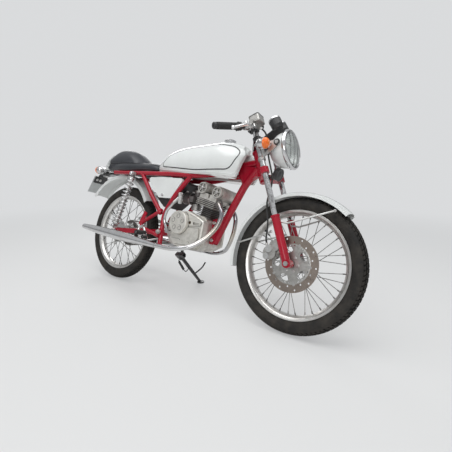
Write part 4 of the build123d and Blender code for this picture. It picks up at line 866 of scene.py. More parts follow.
# Painted shade and some dirt darken the carrier's windows, slots and gaps
paint_crevice_shade_and_dirt(carrier_alloy, 7, 0.15)
front_spot = Matrix.Translation(front_axle_place) @ across
rivet_reach = disc_inner_radius + 3
rivet = rod_between((rivet_reach, 0, disc_y - 3.6), (rivet_reach, 0, disc_y + 3.6), 5.5, 16)
rivets = ringed(rivet, carrier_rivets, stainless)
carrier_profile = [(13, disc_y - 2.6), (84, disc_y - 2.6), (86.5, disc_y - 2.1), (86.5, disc_y + 2.1)]
carrier_profile += [(84, disc_y + 2.6), (13, disc_y + 2.6)]
window = slab(oval((62, 0), 21, 12.5, math.pi / 2), disc_y - 5, disc_y + 5, 0)
window = moved(window, Matrix.Rotation(math.pi / carrier_rivets, 4, "Z"))
windows = ringed(window, carrier_rivets, carrier_alloy)
slot = slab(oval((79.5, 0), 5.5, 1.7, math.pi / 2, 16), disc_y - 5, disc_y + 5, 0)
slots = ringed(slot, carrier_slots, carrier_alloy)
carrier = cut_away(lathe(carrier_profile, 96), joined([windows, slots]))
add_piece("disc_carrier", "front_wheel", moved(carrier, front_spot), carrier_alloy)
bolt = hex_bolt((33, 0, disc_y - 2), (0, 0, -1), 9, 5)
bolts = ringed(bolt, hub_bolts, stainless)
add_piece("disc_fasteners", "front_wheel", moved(joined([rivets, bolts]), front_spot), stainless)
cast_grey = metal(
    "cast_grey",
    (0.50, 0.49, 0.47, 1),
    (0.20, 0.19, 0.18, 1),
    patches=(50, 0.7),
    roughness=(0.42, 0.6),
    grain=(900, 0.12),
)
# Painted shade and some dirt darken the hollows of each grey casting
paint_crevice_shade_and_dirt(cast_grey, 6, 0.25)
finish_nodes(cast_grey, "brake_caliper")
piston_caps = []
for x, z, radius in ((1099, 347, 16), (1091, 314, 14)):
    rim = (Vector((x, -90, z)), Vector((x, -80, z)))
    cap = rod_between(rim[0], rim[1], radius, 36, radius + 2)
    groove = rod_between((x, -91, z), (x, -88.5, z), radius * 0.42, 6)
    piston_caps.append(cut_away(cap, groove))
add_piece("piston_caps", "steering", joined(piston_caps), satin_alloy)

# Rear hub, chain and sprockets
# The rear brake plate, its axle and spacers, the steel sprocket on its six bolts, and a roller chain whose
# outer and inner links take turns.
output_shaft = (520, 338)
chain_pitch = 12.7
rear_teeth = 40
front_teeth = 15
chain_y = 48
wrap_steps = 60
greased_steel = metal(
    "greased_steel",
    (0.40, 0.38, 0.36, 1),
    (0.08, 0.07, 0.06, 1),
    patches=(90, 0.8),
    roughness=(0.3, 0.5),
)
finish_nodes(satin_alloy, "rear_brake_plate")
finish_nodes(stainless, "rear_axle", "front_axle", "swingarm_pivot_bolt")
finish_nodes(greased_steel, "rear_sprocket")
sprocket_bolt = hex_bolt((42, 0, chain_y + 1.7), (0, 0, 1), 9, 3, 1)
sprocket_bolts = ringed(sprocket_bolt, 6, stainless)
rear_spot = Matrix.Translation(rear_axle_place) @ across
add_piece("sprocket_bolts", "rear_wheel", moved(sprocket_bolts, rear_spot), stainless)


def routed(name, kind, points):
    """A new curve of one spline through points, and the spline."""
    curve = bpy.data.curves.new(name, "CURVE")
    curve.dimensions = "3D"
    spline = curve.splines.new(kind)
    spline.points.add(len(points) - 1)
    for point, place in zip(spline.points, points):
        point.co = (*place, 1)
    return curve, spline


def along_path(points, mesh, count, finish, stride=1, first=0, closed=True, pivot="Y"):
    """Copies of a mesh along a path by Geometry Nodes: every stride-th of count places, from the first."""
    inputs = (("Count", "NodeSocketInt"), ("Stride", "NodeSocketInt"), ("First", "NodeSocketInt"))
    tree, given = growth_tree("along_path", (("Copy", "NodeSocketObject"), *inputs))
    places = add_node(
        tree,
        "GeometryNodeResampleCurve",
        {"Curve": given.outputs["Geometry"], "Count": given.outputs["Count"]},
    )
    number = add_node(tree, "GeometryNodeInputIndex").outputs[0]
    rest = add_node(tree, "ShaderNodeMath", {0: number, 1: given.outputs["Stride"]}, operation="MODULO")
    chosen = add_node(
        tree, "ShaderNodeMath", {0: rest.outputs[0], 1: given.outputs["First"], 2: 0.1}, operation="COMPARE"
    )
    tangent = add_node(tree, "GeometryNodeInputTangent").outputs[0]
    heading = add_node(
        tree, "FunctionNodeAlignRotationToVector", {"Vector": tangent}, axis="X", pivot_axis=pivot
    )
    shape = add_node(tree, "GeometryNodeObjectInfo", {"Object": given.outputs["Copy"]})
    copies = add_node(
        tree,
        "GeometryNodeInstanceOnPoints",
        {
            "Points": places.outputs[0],
            "Selection": chosen.outputs[0],
            "Instance": shape.outputs["Geometry"],
            "Rotation": heading.outputs[0],
        },
    )
    curve, spline = routed("path", "POLY", points)
    spline.use_cyclic_u = closed
    copy = in_scene("copy", mesh)
    values = {"Copy": copy, "Count": count, "Stride": stride, "First": first, "Finish": finish}
    return grown_by(tree, given, copies.outputs[0], in_scene("path", curve), values, copy)


def chain_path():
    """The pitch line of the chain round both sprockets, in the machine's own plane."""
    radii = [chain_pitch / (2 * math.sin(math.pi / teeth)) for teeth in (rear_teeth, front_teeth)]
    span = Vector((output_shaft[0], output_shaft[1] - tyre_radius))
    slope = math.atan2(span.y, span.x)
    tilt = math.asin((radii[0] - radii[1]) / span.length)
    low, high = slope - math.pi / 2 + tilt, slope + math.pi / 2 - tilt
    wraps = (((0, tyre_radius), radii[0], high, low + 2 * math.pi), (output_shaft, radii[1], low, high))
    points = []
    for (x, z), radius, start, end in wraps:
        for step in range(wrap_steps + 1):
            angle = start + (end - start) * step / wrap_steps
            points.append(Vector((x + radius * math.cos(angle), chain_y, z + radius * math.sin(angle))))
    return points


def link_plate(y, thickness):
    """A waisted side plate with its pins along X, standing across Y."""
    outline = []
    for side in (-1, 1):
        for angle in (-75, -25, 25, 75):
            turn = math.radians(angle)
            outline.append((side * (chain_pitch / 2 + 5 * math.cos(turn)), side * 5 * math.sin(turn)))
        outline.append((0, side * 3.6))
    plate = slab(outline, y - thickness / 2, y + thickness / 2, 0)
    return moved(plate, Matrix.Rotation(-math.pi / 2, 4, "X"))


def link_mesh(plate_y, pin_radius, pin_reach):
    """One link: two side plates and the pins or rollers between them."""
    ends = (-chain_pitch / 2, chain_pitch / 2)
    pins = [rod_between((x, -pin_reach, 0), (x, pin_reach, 0), pin_radius, 8) for x in ends]
    return joined([link_plate(-plate_y, 1.3), link_plate(plate_y, 1.3), *pins])


path = chain_path()
path_length = sum((after - before).length for before, after in zip(path, path[1:] + path[:1]))
link_count = 2 * round(path_length / chain_pitch / 2)
outer_links = along_path(path, link_mesh(5.2, 1.9, 6.4), link_count, greased_steel, 2, 0)
inner_links = along_path(path, link_mesh(3.8, 4.1, 3.2), link_count, greased_steel, 2, 1)
add_piece("roller_chain", "frame", joined([outer_links, inner_links]), greased_steel, ["drive_chain"])

# Fork and steering
# Chromed tubes in painted cast sliders, held by two bridges that the steering stem joins: the lower one
# painted crimson like the sliders, the upper one gloss black.
crimson = finish_of(
    "crimson_paint",
    (0.40, 0.005, 0.023, 1),
    (0.27, 0.004, 0.016, 1),
    patches=(14, 0.6),
    roughness=(0.14, 0.24),
    grain=(260, 0.02),
    sockets={"Coat Weight": 0.25, "Coat Roughness": 0.05, "Specular IOR Level": 0.35},
)
bright_chrome = metal(
    "bright_chrome",
    (0.66, 0.66, 0.67, 1),
    (0.44, 0.42, 0.40, 1),
    patches=(46, 0.5),
    roughness=(0.06, 0.16),
)
fork_chrome = metal(
    "fork_chrome", (0.78, 0.78, 0.79, 1), (0.15, 0.14, 0.14, 1), patches=(58, 0.85), roughness=(0.05, 0.13)
)
gloss_black = finish_of(
    "gloss_black",
    (0.015, 0.015, 0.016, 1),
    (0.04, 0.04, 0.04, 1),
    patches=(30, 0.5),
    roughness=(0.2, 0.34),
    grain=(600, 0.02),
    sockets={"Coat Weight": 0.4, "Coat Roughness": 0.1},
)
finish_nodes(crimson, "lower_fork_bridge", "fork_sliders")
finish_nodes(gloss_black, "upper_fork_bridge")
finish_nodes(fork_chrome, "fork_tubes")

# Front fender
# A pressed steel fender in pearl white on four flat polished stays, each bolted to its slider and, through
# the fender's edge, to the fender.
pearl_white = finish_of(
    "pearl_white",
    (0.78, 0.80, 0.79, 1),
    (0.66, 0.68, 0.67, 1),
    patches=(9, 0.5),
    roughness=(0.16, 0.26),
    grain=(260, 0.015),
    sockets={"Coat Weight": 0.8, "Coat Roughness": 0.05, "Specular IOR Level": 0.55},
)
# Each row gives x ahead of the axle, half width y and z above the axle: the slider's end and the fender's end
stay_bolts = (((-75, 74, 172), (149, 50, 242)), ((-105, 74, 124), (-274, 50, 56)))
finish_nodes(pearl_white, "front_fender")
finish_nodes(satin_alloy, "fender_stays")
stay_bolt_meshes = []
for side in (-1, 1):
    for row in stay_bolts:
        for x, y, z in row:
            spot = front_axle_place + Vector((x, side * y, z))
            stay_bolt_meshes.append(hex_bolt(spot, (0, side, 0), 8, 4))
add_piece("fender_stay_bolts", "steering", joined(stay_bolt_meshes), stainless)

# Headlight, signals and horn
# A pearl bucket with a chromed bezel, a mirror bowl with its bulb and a clear fluted lens, held by two
# bolts; chromed bullet signals with amber lenses on stalks from the fork; a dark horn below.
head_angle = math.radians(24)
steer_foot_x = 1270
lamp_centre = (1092, 0, 816)
beam_tilt = math.radians(11)
lamp_rim_radius = 95
lamp_shell_radius = 87
lamp_depth = 104
lamp_bowl_depth = 60
lens_radius = 84
flute_pitch = 9.5
ear_bolt_x = 1059
ear_bolt_z = 820
signal_radius = 26
front_signal_x = 1006
front_signal_y = 122
front_signal_z = 807
# Pieces that turn with the bars are drawn with U ahead of the steering axis, V left and W up along it
steering_frame = Matrix.Translation((steer_foot_x, 0, 0)) @ Matrix.Rotation(-head_angle, 4, "Y")


def dome_points(start, end, steps=14):
    """Points along an arc between two (radius, height) points whose centre lies on the axis."""
    squares = end[0] ** 2 + end[1] ** 2 - start[0] ** 2 - start[1] ** 2
    centre = squares / (2 * (end[1] - start[1]))
    reach = math.hypot(start[0], start[1] - centre)
    first = math.atan2(start[1] - centre, start[0])
    last = math.atan2(end[1] - centre, end[0])
    turns = [first + (last - first) * step / steps for step in range(steps + 1)]
    return [(reach * math.cos(turn), centre + reach * math.sin(turn)) for turn in turns]


def facing(spot, direction):
    """Stands a piece drawn about Z on a spot, pointing along a direction."""
    turn = Vector(direction).to_track_quat("Z", "Y").to_matrix().to_4x4()
    return Matrix.Translation(spot) @ turn


def round_curve(name, points, radius, facets, steps, order=3):
    """A smooth open curve along a route, with a round section and closed ends."""
    curve, spline = routed(name, "NURBS", points)
    curve.bevel_depth = radius
    curve.bevel_resolution = max(1, facets // 4)
    curve.use_fill_caps = True
    spline.order_u = order
    spline.use_endpoint_u = True
    spline.resolution_u = steps
    return curve


def tube_along(points, radius, facets, steps, order=3):
    """A mesh tube along a route, closed at its ends."""
    curve = round_curve("route", points, radius, facets, steps, order)
    mesh = taken_mesh(in_scene("route", curve))
    bpy.data.curves.remove(curve)
    return mesh


lens_glass = finish_of(
    "lens_glass",
    (0.96, 0.98, 0.97, 1),
    (0.90, 0.92, 0.92, 1),
    patches=(30, 0.4),
    roughness=(0.02, 0.08),
    grain=(300, 0.02),
    sockets={"Transmission Weight": 1.0, "IOR": 1.48},
)
amber_lens = finish_of(
    "amber_lens",
    (0.95, 0.20, 0.01, 1),
    (0.80, 0.13, 0.01, 1),
    patches=(60, 0.5),
    roughness=(0.12, 0.25),
    grain=(500, 0.05),
    sockets={"Coat Weight": 0.5, "Subsurface Weight": 0.2, "Subsurface Scale": 0.01},
)
black_plastic = finish_of(
    "black_plastic",
    (0.022, 0.022, 0.024, 1),
    (0.06, 0.058, 0.056, 1),
    patches=(40, 0.5),
    roughness=(0.38, 0.55),
    grain=(1800, 0.04),
)
mirror_bowl = finish_of(
    "mirror_bowl",
    (0.92, 0.93, 0.92, 1),
    (0.80, 0.81, 0.80, 1),
    patches=(80, 0.5),
    roughness=(0.2, 0.36),
    grain=(900, 0.02),
    metallic=0.45,
)

beam = facing(lamp_centre, (math.cos(beam_tilt), 0, math.sin(beam_tilt)))
bucket = dome_points((0.1, -lamp_depth), (lamp_shell_radius - 3, -34)) + [
    (lamp_shell_radius, -12), (lamp_shell_radius, -8), (lamp_shell_radius - 2, -8),
    (lamp_shell_radius - 5, -34),
]
bucket += [(radius - 2.5, z + 2.5) for radius, z in reversed(dome_points((2.6, -lamp_depth), (82, -36)))]
bucket_mesh = moved(lathe(bucket, 96), beam)
add_piece("headlight_bucket", "steering", bucket_mesh, pearl_white, ["headlight_shell"])
bezel = [
    (lamp_shell_radius + 0.4, -14), (lamp_rim_radius - 3, -12), (lamp_rim_radius - 1, -9),
    (lamp_rim_radius, -5), (lamp_rim_radius - 0.6, 0), (lamp_rim_radius - 3, 4.5), (lens_radius + 4, 7),
    (lens_radius + 1.5, 6.6), (lens_radius - 0.5, 4), (lens_radius - 0.5, -6), (lens_radius - 4, -7),
    (lens_radius - 4, -9), (lamp_shell_radius + 0.4, -9),
]
bezel_screw = rod_between((lamp_rim_radius - 5, 0, -8), (lamp_rim_radius + 1.5, 0, -8), 3.4, 14)
screws = ringed(bezel_screw, 3, bright_chrome)
bezel_mesh = moved(joined([lathe(bezel, 96), screws]), beam @ Matrix.Rotation(math.radians(150), 4, "Z"))
bowl = [(radius, -lamp_bowl_depth + (lamp_bowl_depth - 8) * (radius / 80) ** 2) for radius in range(9, 81, 2)]
bowl += [(radius, z - 1.5) for radius, z in reversed(bowl)]
bulb_turns = [math.radians(turn) for turn in (30, 60, 90)]
bulb = [(0.1, -26)] + [(7 * math.sin(turn), -33 + 7 * math.cos(turn)) for turn in bulb_turns]
bulb += [(6.5, -42), (5, -46), (9, -48), (11, -54), (0.1, -54)]


def lens_mesh():
    """A domed lens about Z whose inner face has upright flutes."""
    rings = 30
    outer = [(lens_radius * ring / rings, 6 + 12 * (1 - (ring / rings) ** 2)) for ring in range(rings + 1)]
    outer[0] = (0.05, 18)
    inner = [(radius, z - 4.5) for radius, z in reversed(outer)]
    mesh = lathe(outer + [(lens_radius, -4), (lens_radius - 2, -4)] + inner[1:], 120)
    for vertex in mesh.vertices:
        x, y, z = vertex.co
        reach = math.hypot(x, y)
        top = 6 + 12 * (1 - (reach / lens_radius) ** 2)
        if reach < lens_radius - 4 and z < top - 2:
            prism = 1.0 if int((x + 100) // 19) % 2 else 0.0
            vertex.co.z -= 1.5 * abs(math.sin(math.pi * y / flute_pitch)) + prism
    return mesh


def bowl_mesh():
    """The mirror bowl, pressed with soft upright flutes that spread the beam."""
    mesh = lathe(bowl, 144)
    for vertex in mesh.vertices:
        x, y, z = vertex.co
        if math.hypot(x, y) > 16:
            vertex.co.z += 0.35 * math.cos(math.pi * y / flute_pitch) * (1.0 if abs(x) > 24 else 0.4)
    return mesh


add_piece("headlight_bezel", "steering", bezel_mesh, bright_chrome)
add_piece("headlight_bowl", "steering", moved(bowl_mesh(), beam), mirror_bowl)
add_piece("headlight_bulb", "steering", moved(lathe(bulb, 24), beam), stainless)
lens = moved(lens_mesh(), beam)
add_piece("headlight_fluted_lens", "steering", lens, lens_glass, ["headlight_lens"])
finish_nodes(satin_alloy, "headlight_brackets")
ear_bolts = [hex_bolt((ear_bolt_x, side * 96, ear_bolt_z), (0, side, 0), 12, 5, 2) for side in (-1, 1)]
add_piece("headlight_bolts", "steering", joined(ear_bolts), stainless)


def signal_pieces(name, body, centre, ahead, stalk, stands_for):
    """A bullet signal on its stalk: a chromed body and a ribbed amber lens under a chromed ring."""
    spot = facing(centre, (ahead, 0, 0))
    shell = [(0.1, -32), (10, -30)] + dome_points((10, -30), (signal_radius, -2), 8)[1:]
    shell += [(signal_radius, 6), (signal_radius - 1.6, 7.5), (signal_radius - 3, 6), (signal_radius - 3, 0)]
    shell += [(0.1, -2)]
    lens = [(signal_radius - 3.2, -1), (signal_radius - 3.2, 6)]
    for step in range(20):
        share = step / 20
        rib = 0.5 if step % 2 else 0.0
        lens.append(((signal_radius - 1.4) * (1 - share ** 3) ** (1 / 2.2) + rib, 7.5 + 23 * share))
    lens.append((0.1, 30.5))
    arm = rod_between(stalk, Vector(centre) - Vector((ahead * 18, 0, 2)), 5.5, 20)
    chrome_mesh = joined([moved(lathe(shell, 48), spot), arm])
    collar = rod_between(Vector(stalk), Vector(stalk).lerp(Vector(centre), 0.28), 9, 24)
    add_piece(name + "_body", body, chrome_mesh, bright_chrome, stands_for)
    add_piece(name + "_collar", body, collar, soft_rubber)
    add_piece(name + "_lens", body, moved(lathe(lens + [(0.1, -1)], 48), spot), amber_lens)


for side, label in ((-1, "right"), (1, "left")):
    stalk_root = steering_frame @ Vector((48, side * 96, 868))
    signal_pieces(
        "front_" + label + "_signal",
        "steering",
        (front_signal_x, side * front_signal_y, front_signal_z),
        1,
        stalk_root,
        ["front_signals"],
    )

horn_grey = finish_of(
    "horn_grey",
    (0.035, 0.035, 0.037, 1),
    (0.10, 0.10, 0.10, 1),
    patches=(50, 0.6),
    roughness=(0.3, 0.45),
    grain=(700, 0.03),
)
horn_centre = (lamp_centre[0] - 49, 0, lamp_centre[2] - lamp_rim_radius - 25)
horn_spot = facing(horn_centre, (math.cos(0.3), 0, math.sin(-0.3)))
horn_rings = [
    (29.5, 8), (30.5, 9), (30.5, 11), (29, 12), (24, 12), (23, 10.6), (17, 11.5), (15, 13), (8, 13.5),
    (6, 14.5),
]
horn_face = lathe([(0.1, 14.5)] + list(reversed(horn_rings)) + [(28, 6), (0.1, 6)], 48)
finish_nodes(horn_grey, "horn")
add_piece("horn_face", "steering", moved(horn_face, horn_spot), horn_grey)

# Handlebars
# Clip-on bars in black: each is clamped to its fork tube by a pinch bolt and carries a ribbed rubber grip,
# an alloy perch with a threaded mirror boss, a ball-ended lever and a switch case.
fork_leg = 84
leg_u = 48
clip_on_w = 938
clip_on_height = 25
bar_root = Vector((78, -fork_leg, clip_on_w + clip_on_height / 2))
bar_end = bar_root + Vector((-107.5, 84 - 300, -33.5))
bar_direction = (bar_end - bar_root).normalized()
grip_length = 118
grip_radius = 16
perch_point = bar_root + bar_direction * 78
mirror_seat = perch_point + Vector((-2, 2, 27))
lever_pivot = perch_point + Vector((34, -4, -16))


def sleeve(start, end, profile, facets=40):
    """A turned piece from start to end: profile gives (radius, share of the length)."""
    run = Vector(end) - Vector(start)
    mesh = lathe([(radius, share * run.length) for radius, share in profile], facets)
    return moved(mesh, facing(start, run))


ear_ring = [(8, 0), (15, 0), (15, 0.6), (13.5, 1), (8, 1)]
ear_rings = [
    sleeve((ear_bolt_x, side * 95.4, ear_bolt_z), (ear_bolt_x, side * 98, ear_bolt_z), ear_ring, 36)
    for side in (-1, 1)
]
add_piece("headlight_washers", "steering", joined(ear_rings), soft_rubber)


def ribbed_grip():
    """A rubber grip with a flange at its inner end and fine ribs round it."""
    profile = [(11.2, 0.0), (19, 0.0), (20, 0.012), (20, 0.03), (17, 0.045)]
    ribs = 26
    for rib in range(ribs):
        share = 0.07 + 0.86 * rib / ribs
        width = 0.86 / ribs
        profile += [(grip_radius - 1.3, share), (grip_radius, share + width * 0.25)]
        profile += [(grip_radius, share + width * 0.7), (grip_radius - 1.3, share + width * 0.95)]
    profile += [(grip_radius, 0.95), (grip_radius - 0.6, 0.99), (11.2, 0.995)]
    return sleeve(bar_end - bar_direction * grip_length, bar_end, profile, 48)


def lever_mesh():
    """A forged lever: pivot boss, tapering blade and ball end."""
    root = lever_pivot
    tip = bar_end + Vector((73.5, 8, -45))
    bend = root + Vector((4, -46, -16))
    middle = bend.lerp(tip, 0.45) + Vector((5, 0, 2))
    blade = tube_along([root, root.lerp(bend, 0.6), bend, middle, bend.lerp(tip, 0.8), tip], 6.2, 12, 8)
    ball = bmesh.new()
    bmesh.ops.create_uvsphere(ball, u_segments=24, v_segments=14, radius=8.5)
    ball_mesh = moved(to_mesh(ball), Matrix.Translation(tip))
    pivot = sleeve(
        root + Vector((0, 0, -9)),
        root + Vector((0, 0, 9)),
        [(0.1, 0), (9, 0), (10.5, 0.08), (10.5, 0.92), (9, 1), (0.1, 1)],
    )
    return joined([blade, ball_mesh, pivot])


def bar_pieces(side):
    """One bar with all it carries; the right one is drawn and the left one mirrored from it."""
    clamp = sleeve(
        (leg_u, -fork_leg, clip_on_w),
        (leg_u, -fork_leg, clip_on_w + clip_on_height),
        [(13.6, 0.0), (19, 0.0), (20, 0.06), (20, 0.94), (19, 1.0), (13.6, 1.0)],
    )
    neck = rod_between((leg_u + 14, -fork_leg, bar_root.z), bar_root + Vector((4, 0, 0)), 10.5, 24)
    tube = rod_between(bar_root - bar_direction * 13, bar_end, 11, 32)
    pinch = hex_bolt((leg_u - 22, -fork_leg + 13, bar_root.z), (0, 1, 0), 7, 5)
    lug_start = Vector((leg_u - 24, -fork_leg - 14, bar_root.z))
    lug = rod_between(lug_start, lug_start + Vector((0, 26, 0)), 7, 20)
    switch_start = perch_point + bar_direction * 36
    switch_end = bar_end - bar_direction * (grip_length + 1)
    case = [
        (12, 0.0), (17.5, 0.0), (19, 0.08), (19, 0.45), (18.4, 0.5), (19, 0.55), (19, 0.92), (17.5, 1.0),
        (12, 1.0),
    ]
    switch = sleeve(switch_start, switch_end, case)
    button_spot = switch_start.lerp(switch_end, 0.5)
    buttons = [
        rod_between(
            button_spot + Vector((-15, 0, 8 * lift)), button_spot + Vector((-23, 0, 10 * lift)), 4.5, 18
        )
        for lift in (-1, 1)
    ]
    end_cap = sleeve(
        bar_end,
        bar_end + bar_direction * 14,
        [(0.1, 0), (14, 0), (15, 0.15), (15, 0.8), (13.5, 0.97), (4, 1.0), (3.5, 0.8), (0.1, 0.8)],
    )
    perch = sleeve(
        perch_point - bar_direction * 14,
        perch_point + bar_direction * 20,
        [(11.1, 0.0), (16, 0.0), (17, 0.06), (17, 0.94), (16, 1.0), (11.1, 1.0)],
    )
    boss = sleeve(
        perch_point + (mirror_seat - perch_point) * 0.35,
        mirror_seat,
        [(0.1, 0), (9, 0), (9, 0.96), (8, 1), (4.4, 1), (4.4, 0.3), (0.1, 0.3)],
    )
    arm = rod_between(perch_point, lever_pivot, 8, 20)
    perch_bolt = hex_bolt(lever_pivot + Vector((0, 0, 10)), (0, 0, 1), 9, 4)
    label = "right_" if side < 0 else "left_"
    whole = steering_frame @ Matrix.Scale(-side, 4, (0, 1, 0))
    for part, mesh, finish, nodes, slot in (
        ("bar", joined([clamp, neck, tube, lug, pinch]), gloss_black, [label + "handlebar"], None),
        ("switches", joined([switch, *buttons, end_cap]), black_plastic, (), None),
        ("grip", ribbed_grip(), soft_rubber, (), "rubber"),
        ("perch", joined([perch, boss, arm, perch_bolt]), satin_alloy, (), None),
        ("lever", lever_mesh(), polished_alloy, (), "polished_alloy"),
    ):
        add_piece(label + part, "steering", moved(mesh, whole), finish, nodes)


for side in (-1, 1):
    bar_pieces(side)

# Master cylinder and brake hose
# A cast alloy reservoir with a screwed lid beside the right lever, and the rubber hose that runs down past
# the fork tube to the caliper, with a crimped steel ferrule at each end.
reservoir_centre = perch_point + Vector((46, 16, 12))


def rounded_box(size, radius):
    """A box about the origin with rounded upright edges and softened rims."""
    shape = bmesh.new()
    bmesh.ops.create_cube(shape, size=1)
    bmesh.ops.scale(shape, vec=size, verts=shape.verts)
    upright = [edge for edge in shape.edges if abs(edge.verts[0].co.z - edge.verts[1].co.z) > 1e-6]
    bmesh.ops.bevel(shape, geom=upright, offset=radius, segments=6, affect="EDGES", profile=0.5)
    rims = [edge for edge in shape.edges if edge.calc_face_angle(0) > math.radians(60)]
    bmesh.ops.bevel(shape, geom=rims, offset=min(1.2, size[2] / 5), segments=3, affect="EDGES", profile=0.5)
    return to_mesh(shape)


finish_nodes(cast_grey, "master_cylinder")
hose_radius = 4
lower_bridge_w = 722
lower_bridge_top = 750
upper_bridge_w = 885
slider_top_w = 518
hose_front_u = leg_u + 13.5 + hose_radius + 10
# Each row gives U, V and W: from the master cylinder down ahead of the fork tube, then behind the slider
hose_route = (
    tuple(perch_point + Vector((34, 49, 1))),
    tuple(perch_point + Vector((58, 61, -24))),
    (92, -76, upper_bridge_w - 17),
    (hose_front_u + 3, -fork_leg + 12, upper_bridge_w - 73),
    (hose_front_u, -fork_leg + 12, lower_bridge_top + 2),
    (hose_front_u - 2, -fork_leg + 13, lower_bridge_w - 26),
    (50, -fork_leg + 23, lower_bridge_w - 70),
    (26, -fork_leg + 12, lower_bridge_w - 112),
    (17, -fork_leg - 3, slider_top_w + 40),
    (13, -fork_leg - 7, slider_top_w - 14),
    (-4, -fork_leg - 6, slider_top_w - 60),
    (-22, -fork_leg - 1, slider_top_w - 94),
    (-22, -fork_leg + 8, slider_top_w - 122),
)
hose_spots = [steering_frame @ Vector(point) for point in hose_route]
hose_places = [parked @ spot for spot in hose_spots]
hose_curve = round_curve("brake_hose_rubber", hose_places, hose_radius / 1000, 16, 10)
hose_curve.materials.append(soft_rubber)
hose = in_scene("brake_hose_rubber", hose_curve)
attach(hose, "steering")
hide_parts("brake_hose")
ferrule = [
    (3.9, 0.0), (5.4, 0.0), (5.8, 0.06), (5.8, 0.3), (5.0, 0.36), (5.6, 0.42), (5.6, 0.9), (4.6, 1.0),
    (3.9, 1.0),
]
ferrule_ends = ((hose_spots[0], hose_spots[1]), (hose_spots[-1], hose_spots[-2]))
ferrules = [sleeve(end, end + (ahead - end).normalized() * 20, ferrule, 24) for end, ahead in ferrule_ends]
hose_ferrules = add_piece("hose_ferrules", "steering", joined(ferrules), stainless)
lid = moved(rounded_box((51.5, 61.5, 5), 8.5), Matrix.Translation(reservoir_centre + Vector((0, 0, 17.5))))
lid_screws = [
    rod_between(
        reservoir_centre + Vector((x, y, 18)), reservoir_centre + Vector((x, y, 22)), 3.4, 16, 2.8
    )
    for x in (-18, 18)
    for y in (-23, 23)
]
add_piece("reservoir_lid", "steering", moved(joined([lid, *lid_screws]), steering_frame), horn_grey)
banjo_spot = perch_point + Vector((34, 56, 2))
banjo_ring = rod_between(banjo_spot, banjo_spot + Vector((0, 3, 0)), 9, 24)
banjo = joined([hex_bolt(banjo_spot, (0, 1, 0), 12, 6, 2), banjo_ring])
add_piece("hose_banjo", "steering", moved(banjo, steering_frame), stainless)

# Gauges
# Two black cups on a rubber-mounted plate: each has a chromed rim, a domed glass and a plain dial with
# painted ticks and a red needle.
gauge_low = Vector((146, 0, 926))
gauge_height = 56
gauge_radius = 29
gauge_half_spacing = 33
gauge_lean = Vector((-12, 0, gauge_height)).normalized()
gauge_high = gauge_low + gauge_lean * gauge_height
dial_black = finish_of(
    "dial_black", (0.012, 0.012, 0.013, 1), (0.03, 0.03, 0.03, 1), (60, 0.4), (0.45, 0.6), (900, 0.01)
)
dial_white = finish_of(
    "dial_white", (0.80, 0.80, 0.76, 1), (0.66, 0.66, 0.62, 1), (60, 0.4), (0.5, 0.6), (900, 0.01)
)
needle_red = finish_of(
    "needle_red", (0.75, 0.03, 0.02, 1), (0.55, 0.02, 0.02, 1), (60, 0.4), (0.4, 0.5), (900, 0.01)
)
finish_nodes(black_plastic, "gauges")
rims, glasses, faces, ticks, needles = [], [], [], [], []
for side in (-1, 1):
    spot = steering_frame @ facing(gauge_high + Vector((0, side * gauge_half_spacing, 0)), gauge_lean)
    rim = [
        (gauge_radius - 4, -3), (gauge_radius - 3, 0.6), (gauge_radius - 1, 1.2), (gauge_radius + 0.8, 0.4),
        (gauge_radius + 1.2, -3), (gauge_radius + 0.8, -7), (gauge_radius, -7), (gauge_radius - 1, -3),
    ]
    rims.append(moved(lathe(rim, 64), spot))
    glass_edge = gauge_radius - 3.6
    glass = [(0.05, 0.4), (12, 0.2), (20, -0.6), (glass_edge, -1.8), (glass_edge, -2.6), (0.05, -0.6)]
    glasses.append(moved(lathe(glass, 48), spot))
    dial = [(0.05, -3.4), (gauge_radius - 4, -3.4), (gauge_radius - 4, -4), (0.05, -4)]
    faces.append(moved(lathe(dial, 48), spot))
    tick = rod_between((19.5, 0, -3.2), (23.5, 0, -3.2), 0.5, 6)
    swept = ringed(tick, 21, dial_white, math.radians(13.5))
    ticks.append(moved(swept, spot @ Matrix.Rotation(math.radians(135), 4, "Z")))
    needle_hub = rod_between((0, 0, -3.4), (0, 0, -1.6), 3.2, 20)
    needle = joined([rod_between((-4, 0, -2.6), (18, 0, -2.6), 0.9, 8, 0.4), needle_hub])
    needles.append(moved(needle, spot @ Matrix.Rotation(math.radians(135 + 12 * side), 4, "Z")))
add_piece("gauge_rims", "steering", joined(rims), bright_chrome)
add_piece("gauge_glasses", "steering", joined(glasses), lens_glass)
add_piece("gauge_dials", "steering", joined(faces), dial_black)
add_piece("gauge_ticks", "steering", joined(ticks), dial_white)
add_piece("gauge_needles", "steering", joined(needles), needle_red)

# Frame
# Crimson steel tube: backbone, one downtube with its engine plates, seat rails, side tubes, rear stays and
# swingarm, bolted together at the pivot, the engine plates and the shocks.
finish_nodes(
    crimson,
    "frame_backbone", "frame_downtubes", "frame_seat_rails", "frame_side_tubes", "frame_rear_stays",
    "swingarm",
)
pivot_spot = Vector((430, 0, 338))
engine_mounts = ((734, 340), (734, 430))
frame_bolts = []
for side in (-1, 1):
    frame_bolts.append(hex_bolt(pivot_spot + Vector((0, side * 112, 0)), (0, side, 0), 17, 8, 2))
    for x, z in engine_mounts:
        frame_bolts.append(hex_bolt((x, side * 20, z), (0, side, 0), 12, 6))
add_piece("frame_bolts", "frame", joined(frame_bolts), stainless)

